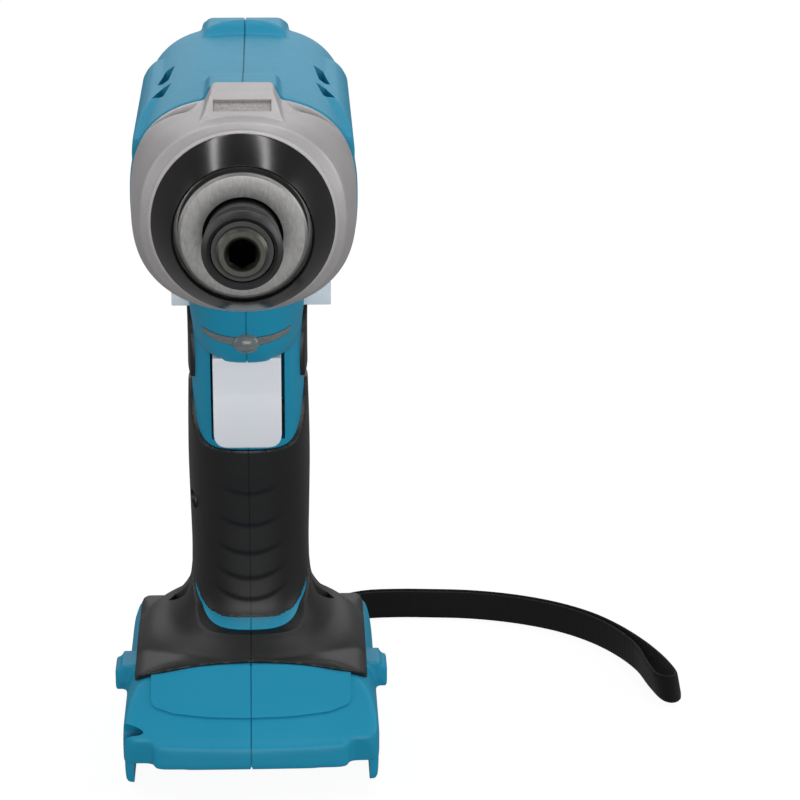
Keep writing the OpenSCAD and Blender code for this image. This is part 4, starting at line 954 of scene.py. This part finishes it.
# Hammer case: an aluminium casting, bead blasted, with a boss that carries a bare name plate.
# Its nose is turned bright on the face and the rim.
nose_face = -55
nose_radius = 16.5
bumper_radius = 23.4
plate_middle = Vector((0, nose_face + 22.2, axis_height + boss_height - 3.2))
plate_tilt = math.radians(28.4)
plate_half = 7.4
plate_high = 2.2
plate_edge = 0.15
case_voxel = 0.42
case_rows = [
    (nose_face + 11.6, bumper_radius + 0.7, bumper_radius + 0.8, bumper_radius + 0.1, 2),
    (nose_face + 13.6, case_radius - 3.4, case_radius - 4.1, case_radius - 5.3, 2.25),
    (nose_face + 18, case_radius - 2.3, case_radius - 3.8, case_radius - 4.5, 2.45),
    (nose_face + 22.5, case_radius - 1.3, case_radius - 3.5, case_radius - 3.7, 2.55),
    (nose_face + 28, case_radius - 0.5, case_radius - 3, case_radius - 3, 2.65),
    (body_front - 0.1, case_radius - 0.3, case_radius - 2.8, case_radius - 2.7, 2.65)]


def turned(shape, outline, steps=128, soften=0.0):
    """A ring turned about the axis from points of radius and station."""
    verts = [shape.verts.new((0, y, axis_height + r)) for r, y in outline]
    edges = [shape.edges.new((a, b)) for a, b in zip(verts, verts[1:] + verts[:1])]
    bmesh.ops.spin(shape, geom=verts + edges, cent=(0, 0, axis_height), axis=(0, 1, 0),
                   angle=math.tau, steps=steps, use_merge=True)
    bmesh.ops.remove_doubles(shape, verts=shape.verts, dist=0.0005)
    bmesh.ops.dissolve_degenerate(shape, edges=shape.edges, dist=0.0001)
    bmesh.ops.recalc_face_normals(shape, faces=shape.faces)
    if soften:
        rims = [e for e in shape.edges
                if len(e.link_faces) == 2 and e.calc_face_angle() > math.radians(24)]
        bmesh.ops.bevel(shape, geom=rims, offset=soften, offset_type="OFFSET", segments=3,
                        profile=0.5, affect="EDGES", material=-1, clamp_overlap=True)


def case_boss():
    """The raised block on top of the case, with the slope that carries the plate."""
    front = bmesh.new()
    high = axis_height + boss_height
    prism(front, "y", mirrored([(0, axis_height + 18), (boss_half + 6.4, axis_height + 18),
                                (boss_half + 0.4, high - 0.6), (boss_half - 0.4, high), (0, high)]),
          nose_face + 10, body_front - 0.1)
    side = bmesh.new()
    prism(side, "x", [(nose_face + 12, axis_height + 15), (body_front - 0.1, axis_height + 15),
                      (body_front - 0.1, high), (nose_face + 27, high - 0.6),
                      (nose_face + 18.5, high - 5.2), (nose_face + 13.5, axis_height + 21.5)],
          -40, 40)
    return cut(solid(front), solid(side), "INTERSECT")


def case_pockets():
    """Shallow three-cornered pockets in the shoulders, between the boss and the rear rim."""
    wedges = []
    for side in (-1, 1):
        wedge = bmesh.new()
        corners = ((-8, 0), (8, 0), (8, -1), (-8, -7.5))
        prism(wedge, "z", [(side * x, y) for x, y in corners], 27.7, 36)
        turn = Matrix.Rotation(math.radians(36 * side), 4, "Y")
        bmesh.ops.transform(wedge, verts=wedge.verts, matrix=Matrix.Translation(
            (0, body_front - 2.3, axis_height)) @ turn)
        wedges.append(solid(wedge))
    return joined(wedges)


def plate_recess():
    """The bare name plate's recess in the slope of the boss."""
    shape = bmesh.new()
    at = Matrix.Translation(plate_middle) @ Matrix.Rotation(plate_tilt, 4, "X")
    bmesh.ops.create_cube(shape, size=1, matrix=at @ Matrix.Translation((0, 0, 2.7))
                          @ Matrix.Diagonal((2 * plate_half, 2 * plate_high, 6.8, 1)))
    return solid(shape)


def cast_aluminium():
    """Bead-blasted skin, left rough as cast on the floor of the plate."""
    made, place = finish("cast_aluminium", metallic=0.6, specular_ior_level=0.5)
    grain = place.noise(2300.0, 2.0, 0.6)
    pits = place.noise(900.0, 3.0, 0.6)
    cloud = place.noise(70.0, 3.0)
    slope = Matrix.Rotation(-plate_tilt, 3, "X")
    moved = place.node("ShaderNodeVectorMath", {"operation": "SUBTRACT"},
                       {0: place, 1: plate_middle * mm})
    flat = place.node("ShaderNodeMapping", {}, {"Vector": moved, "Rotation": slope.to_euler()})
    x, y = (place.node("ShaderNodeSeparateXYZ", {}, {"Vector": flat}, i) for i in range(2))
    wide = 1.0 - place.math("ABSOLUTE", x).step((plate_half - plate_edge) * mm, plate_half * mm)
    tall = 1.0 - place.math("ABSOLUTE", y).step((plate_high - plate_edge) * mm, plate_high * mm)
    plate = wide * tall
    mix = cloud * 0.5 + grain * 0.3 + pits * 0.2
    skin = mix.between(colour(150, 147, 147), colour(206, 203, 204))
    rough_cast = place.noise(1300.0, 4.0, 0.7).between(colour(96, 92, 92), colour(196, 192, 192))
    tint = plate.between(skin, rough_cast)
    rough = 0.46 + pits * 0.16
    return dress(made, base_color=tint, roughness=rough,
                 normal=(grain * 0.6 + pits * 0.4 + plate * pits * 3.0).bump(0.35, 0.00012))


def turned_nose():
    """Bright turned metal, painted near black inside the bore as shade."""
    made, place = finish("turned_nose", metallic=0.85, specular_ior_level=0.5)
    grain = place.stretched((1, 1, 0.35), (0, math.radians(30), 0)).noise(1900.0, 3.0, 0.65)
    pits = place.noise(3200.0, 2.0)
    metal = (grain * 0.7 + pits * 0.3).between(colour(104, 104, 103), colour(186, 185, 183))
    # painted shade: the bore wall and its inner lip are coloured near black in place of the shade in
    # the gap
    outside_bore = place.from_axis(axis_height * mm).step(0.01006, 0.0102)
    tint = outside_bore.between(pits.between(colour(3, 3, 3), colour(9, 9, 9)), metal)
    rough = 0.34 + grain * 0.22
    return dress(made, base_color=tint, roughness=rough, normal=grain.bump(0.4, 0.0001))


case_shape = bmesh.new()
upright_loft(case_shape, case_rows[1:], 4, case_rows[:1])
case_solid = solid(case_shape)
nose_shape = bmesh.new()
turned(nose_shape, [(9.0, nose_face + 6), (nose_radius + 0.8, nose_face + 6),
                    (bumper_radius - 1, nose_face + 11.2), (bumper_radius + 0.2, nose_face + 12.4),
                    (25.9, body_front - 3), (25.9, 14), (9.0, 14)])
case_solid = fused(joined([case_solid, solid(nose_shape), case_boss()]), case_voxel, 3)
cut(case_solid, case_pockets())
changed(case_solid, "SMOOTH", factor=0.4, iterations=2)
cut(case_solid, plate_recess())
bore_shape = bmesh.new()
rod(bore_shape, (0, nose_face, axis_height), (0, nose_face + 20.1, axis_height), 10.5, 96)
case_bore = solid(bore_shape)
for radius, start, end in ((22.3, nose_face + 20.1, 3), (23.55, 2.5, 16)):
    bar = bmesh.new()
    rod(bar, (0, start - 0.05, axis_height), (0, end, axis_height), radius, 96)
    cut(case_bore, solid(bar), "UNION")
cut(case_solid, case_bore)
placed(case_solid, "case_casting", cast_aluminium(), "housing", "cast_aluminium", "hammer_case")

nose_ring = bmesh.new()
turned(nose_ring, [(10.05, nose_face), (nose_radius - 0.9, nose_face),
                   (nose_radius - 0.2, nose_face + 0.7), (nose_radius, nose_face + 6.4),
                   (10.55, nose_face + 6.4), (10.55, nose_face + 4), (8.7, nose_face + 4),
                   (8.7, nose_face + 2.6), (10.05, nose_face + 2.6)], 160, 0.12)
placed(solid(nose_ring), "case_nose", turned_nose(), "housing", "cast_aluminium")


# Nose bumper: a glossy black plastic cone that guards the work from the hammer case.
# It snaps over the nose of the casting and leaves a narrow dark gap round it.
def gloss_black():
    """Glossy black with faint smears."""
    made, place = finish("gloss_black", specular_ior_level=0.5, coat_roughness=0.2)
    fine = place.noise(1500.0, 2.0)
    smear = place.stretched((1, 1, 0.3)).noise(90.0, 3.0)
    tint = smear.between(colour(8, 8, 9), colour(22, 22, 23))
    rough = 0.14 + smear * 0.10 + fine * 0.03
    return dress(made, base_color=tint, roughness=rough, normal=fine.bump(0.05, 0.00003))


bumper_shape = bmesh.new()
turned(bumper_shape, [(nose_radius + 0.9, nose_face + 1.6), (nose_radius + 1.5, nose_face + 0.9),
                      (bumper_radius - 0.3, nose_face + 10.5), (bumper_radius, nose_face + 11),
                      (bumper_radius, nose_face + 11.4), (bumper_radius - 0.8, nose_face + 11.4),
                      (nose_radius + 0.9, nose_face + 6)], 160, 0.2)
black_gloss = gloss_black()
placed(solid(bumper_shape), "bumper_cone", black_gloss, "housing", "black_plastic", "nose_bumper",
       sharp=50)


# Anvil: hardened steel with the hex socket, ground on the nose, with painted shade inside.
# Its tip stands in front of the sleeve and turns in the bush of the hammer case.
def ground_steel():
    """Bright steel with fine grinding rings."""
    made, place = finish("ground_steel", metallic=1.0)
    rings = place.stretched((0.05, 6, 0.05)).noise(500.0, 3.0)
    stain = place.noise(160.0, 3.0)
    tint = (stain * 0.6 + rings * 0.4).between(colour(88, 87, 81), colour(150, 149, 143))
    rough = 0.26 + stain * 0.18
    return dress(made, base_color=tint, roughness=rough, normal=rings.bump(0.12, 0.00004))


def anvil_steel():
    """Ground outside, painted dark in the socket as shade."""
    made, place = finish("anvil_steel", metallic=0.9)
    socket = place.from_axis(axis_height * mm).step(0.0043, 0.0047)
    stain = place.noise(260.0, 3.0)
    scratch = place.stretched((1, 1, 0.3)).noise(1500.0, 2.0)
    metal = (stain * 0.6 + scratch * 0.4).between(colour(60, 60, 56), colour(108, 107, 101))
    # painted shade: near black inside the hex socket, standing in for the shade in the hole
    painted_socket_shade = stain.between(colour(14, 14, 12), colour(34, 34, 30))
    return dress(made, base_color=socket.between(painted_socket_shade, metal), roughness=0.3 + stain * 0.2,
                 normal=scratch.bump(0.12, 0.00004))


steel_ground = ground_steel()
frame["nodes"]["anvil"].data.materials.clear()
frame["nodes"]["anvil"].data.materials.append(anvil_steel())


# Bit sleeve: blackened steel, turned with fine grooves for the fingers. It slides on the
# anvil against a spring, and is pulled forward to let the lock balls free a bit.
sleeve_face = -68.5
sleeve_end = -53


def blackened_steel():
    """Dark steel with the marks of the lathe."""
    made, place = finish("blackened_steel", metallic=0.75)
    lathe = place.stretched((0.04, 8, 0.04)).noise(700.0, 2.0)
    stain = place.noise(220.0, 3.0)
    tint = (stain * 0.5 + lathe * 0.5).between(colour(46, 46, 47), colour(88, 87, 87))
    rough = 0.34 + stain * 0.16
    return dress(made, base_color=tint, roughness=rough, normal=lathe.bump(0.15, 0.00005))


def sleeve_outline():
    """Outside with its fine grooves, then back through the bore."""
    outside = [(8.8, sleeve_face), (9.3, sleeve_face + 0.35), (10.1, sleeve_face + 1.3),
               (10.1, sleeve_face + 2.0)]
    for groove in range(5):
        at = sleeve_face + 2.6 + 0.9 * groove
        crest = 10.05 - 0.06 * groove
        root = crest - 0.22
        outside += [(crest, at), (root, at + 0.2), (root, at + 0.4), (crest, at + 0.6)]
    outside += [(9.2, sleeve_end - 3), (9.2, sleeve_end - 0.3), (8.9, sleeve_end)]
    inside = [(8.4, sleeve_end), (8.4, -55.4), (7.8, -55.4), (6.7, -59.8), (6.7, -61.2),
              (8.0, -61.2), (8.0, sleeve_face + 0.6)]
    return outside + inside


sleeve_shape = bmesh.new()
turned(sleeve_shape, sleeve_outline(), 160)
steel_black = blackened_steel()
placed(solid(sleeve_shape), "sleeve_turned", steel_black, "sleeve", "dark_steel", "bit_sleeve")


# Job lamp: a strip of smoky clear plastic with a domed lens over the diode in its middle.
# It is held in a slot across the chin, flush with the shells.
def smoky_clear():
    """Clear plastic with a grey cast."""
    made, place = finish("smoky_clear", transmission_weight=0.35, ior=1.5,
                         specular_ior_level=0.6)
    cloud = place.stretched((1, 1, 3)).noise(260.0, 2.0)
    tint = cloud.between(colour(96, 108, 112), colour(150, 158, 160))
    return dress(made, base_color=tint, roughness=0.18 + cloud * 0.12)


lens_shape = bmesh.new()
level_loft(lens_shape, neck_rows, 0.1)
lens = solid(lens_shape)
band = bmesh.new()
prism(band, "y", lamp_band(0.0), -30, -9.6)
cut(lens, solid(band), "INTERSECT")
dome = bmesh.new()
bmesh.ops.create_uvsphere(dome, u_segments=48, v_segments=24, radius=1,
                          matrix=Matrix.Translation((0, -15.4, lamp_height))
                          @ Matrix.Diagonal((3.7, 2.4, 2.9, 1)))
cut(lens, solid(dome), "UNION")
placed(lens, "lamp_lens", smoky_clear(), "housing", "clear_plastic", "led_lens")


# Trigger: a blade of pale satin plastic, rounded at its lower corners, on a round stem.
# It slides straight back into the switch, which holds it in the well of the shells.
def pale_plastic():
    """Pale, slightly bluish satin plastic."""
    made, place = finish("pale_plastic", specular_ior_level=0.45, subsurface_weight=0.08,
                         subsurface_scale=0.004)
    cloud = place.noise(70.0, 2.0)
    fine = place.noise(2400.0, 2.0)
    tint = cloud.between(colour(226, 231, 238), colour(238, 241, 247))
    return dress(made, base_color=tint, roughness=0.36 + fine * 0.08,
                 normal=fine.bump(0.06, 0.00004))


trigger_voxel = 0.28
trigger_shape = bmesh.new()
corner = 4.4
blade_low = trigger_low + 1.2
blade_half = trigger_half - 0.3
trigger_right = ([(0, blade_low)]
                 + curve((blade_half - corner, blade_low), (blade_half, blade_low),
                         (blade_half, blade_low + corner))
                 + [(blade_half, trigger_top), (0, trigger_top)])
prism(trigger_shape, "y", mirrored(trigger_right), -30, 20)
trigger_side = bmesh.new()
finger_face = curve((-7.6, trigger_low), (-10.6, trigger_low + 9), (-10.2, trigger_low + 18), 10)
prism(trigger_side, "x", finger_face + [(-11, trigger_top), (1, trigger_top), (1, trigger_low)],
      -20, 20)
trigger_piece = cut(solid(trigger_shape), solid(trigger_side), "INTERSECT")
fused(trigger_piece, trigger_voxel, 6)
stem = bmesh.new()
rod(stem, (0, 0, trigger_low + 15), (0, 9.6, trigger_low + 15), 3.0, 48)
cut(trigger_piece, solid(stem), "UNION")
placed(trigger_piece, "trigger_blade", pale_plastic(), "trigger", "pale_plastic", "trigger")


# Direction lever: one bar of clear plastic that lies across the body in a slot of the shells.
# It is pushed from either side, and a fork under it turns the switch over.
def clear_plastic():
    """Milky clear plastic."""
    made, place = finish("clear_plastic", transmission_weight=0.25, ior=1.49,
                         specular_ior_level=0.5)
    cloud = place.noise(140.0, 2.0)
    tint = cloud.between(colour(226, 238, 246), colour(240, 247, 252))
    return dress(made, base_color=tint, roughness=0.28 + cloud * 0.12)


lever_rest = 1.3
lever_half = 21.8
lever_shape = bmesh.new()
block(lever_shape, lever_rest - lever_half, lever_rest + lever_half, 3, 13, lever_low,
      lever_low + lever_high)
bmesh.ops.bevel(lever_shape, geom=lever_shape.edges, offset=0.8, offset_type="OFFSET", segments=4,
                profile=0.5, affect="EDGES", material=-1, clamp_overlap=True)
lever_piece = solid(lever_shape)
fork = bmesh.new()
block(fork, lever_rest - 2, lever_rest + 2, 10, 12.6, 123.4, lever_low + 1)
cut(lever_piece, solid(fork), "UNION")
placed(lever_piece, "lever_bar", clear_plastic(), "lever", "clear_plastic", "direction_lever")


# Inner pieces: motor, gears, springs, bearings, boards, wires, pins and screws, of metal and
# plastic. They keep their CAD shape and get the finish of their slot.
def plain_finish(name, dark, light, metallic, rough, scale):
    """A finish between two colours, clouded at one scale."""
    made, place = finish(name, metallic=metallic)
    cloud = place.noise(scale, 3.0)
    tint = cloud.between(colour(*dark), colour(*light))
    return dress(made, base_color=tint, roughness=rough + cloud * 0.15,
                 normal=cloud.bump(0.1, 0.00005))


slot_finishes = {
    "steel": steel_ground,
    "dark_steel": steel_black,
    "black_plastic": black_gloss,
    "black_rubber": rubber_black,
    "bearing_steel": plain_finish("bearing_steel", (150, 150, 150), (205, 205, 205), 1.0, 0.12, 300),
    "bronze": plain_finish("bronze", (110, 78, 44), (150, 110, 66), 1.0, 0.36, 500),
    "brass": plain_finish("brass", (176, 142, 72), (214, 182, 108), 1.0, 0.24, 400),
    "spring_steel": plain_finish("spring_steel", (120, 124, 130), (170, 174, 180), 1.0, 0.26, 600),
    "laminations": plain_finish("laminations", (92, 92, 95), (140, 140, 142), 0.9, 0.4, 900),
    "copper": plain_finish("copper_wire", (150, 76, 36), (196, 112, 60), 0.9, 0.34, 700),
    "circuit_board": plain_finish("circuit_board", (16, 74, 30), (26, 100, 44), 0.0, 0.42, 300),
    "nylon": plain_finish("nylon", (196, 190, 170), (216, 210, 192), 0.0, 0.5, 200),
    "lead_cover": plain_finish("lead_cover", (120, 18, 14), (152, 28, 22), 0.0, 0.45, 200),
}
node_slots = {s["node"]: s["material_slot"] for s in frame["record"]["subparts"]}
for node_name, node in frame["nodes"].items():
    if not node.hide_render and node_name != "anvil" and node_slots[node_name] in slot_finishes:
        node.data.materials.clear()
        node.data.materials.append(slot_finishes[node_slots[node_name]])
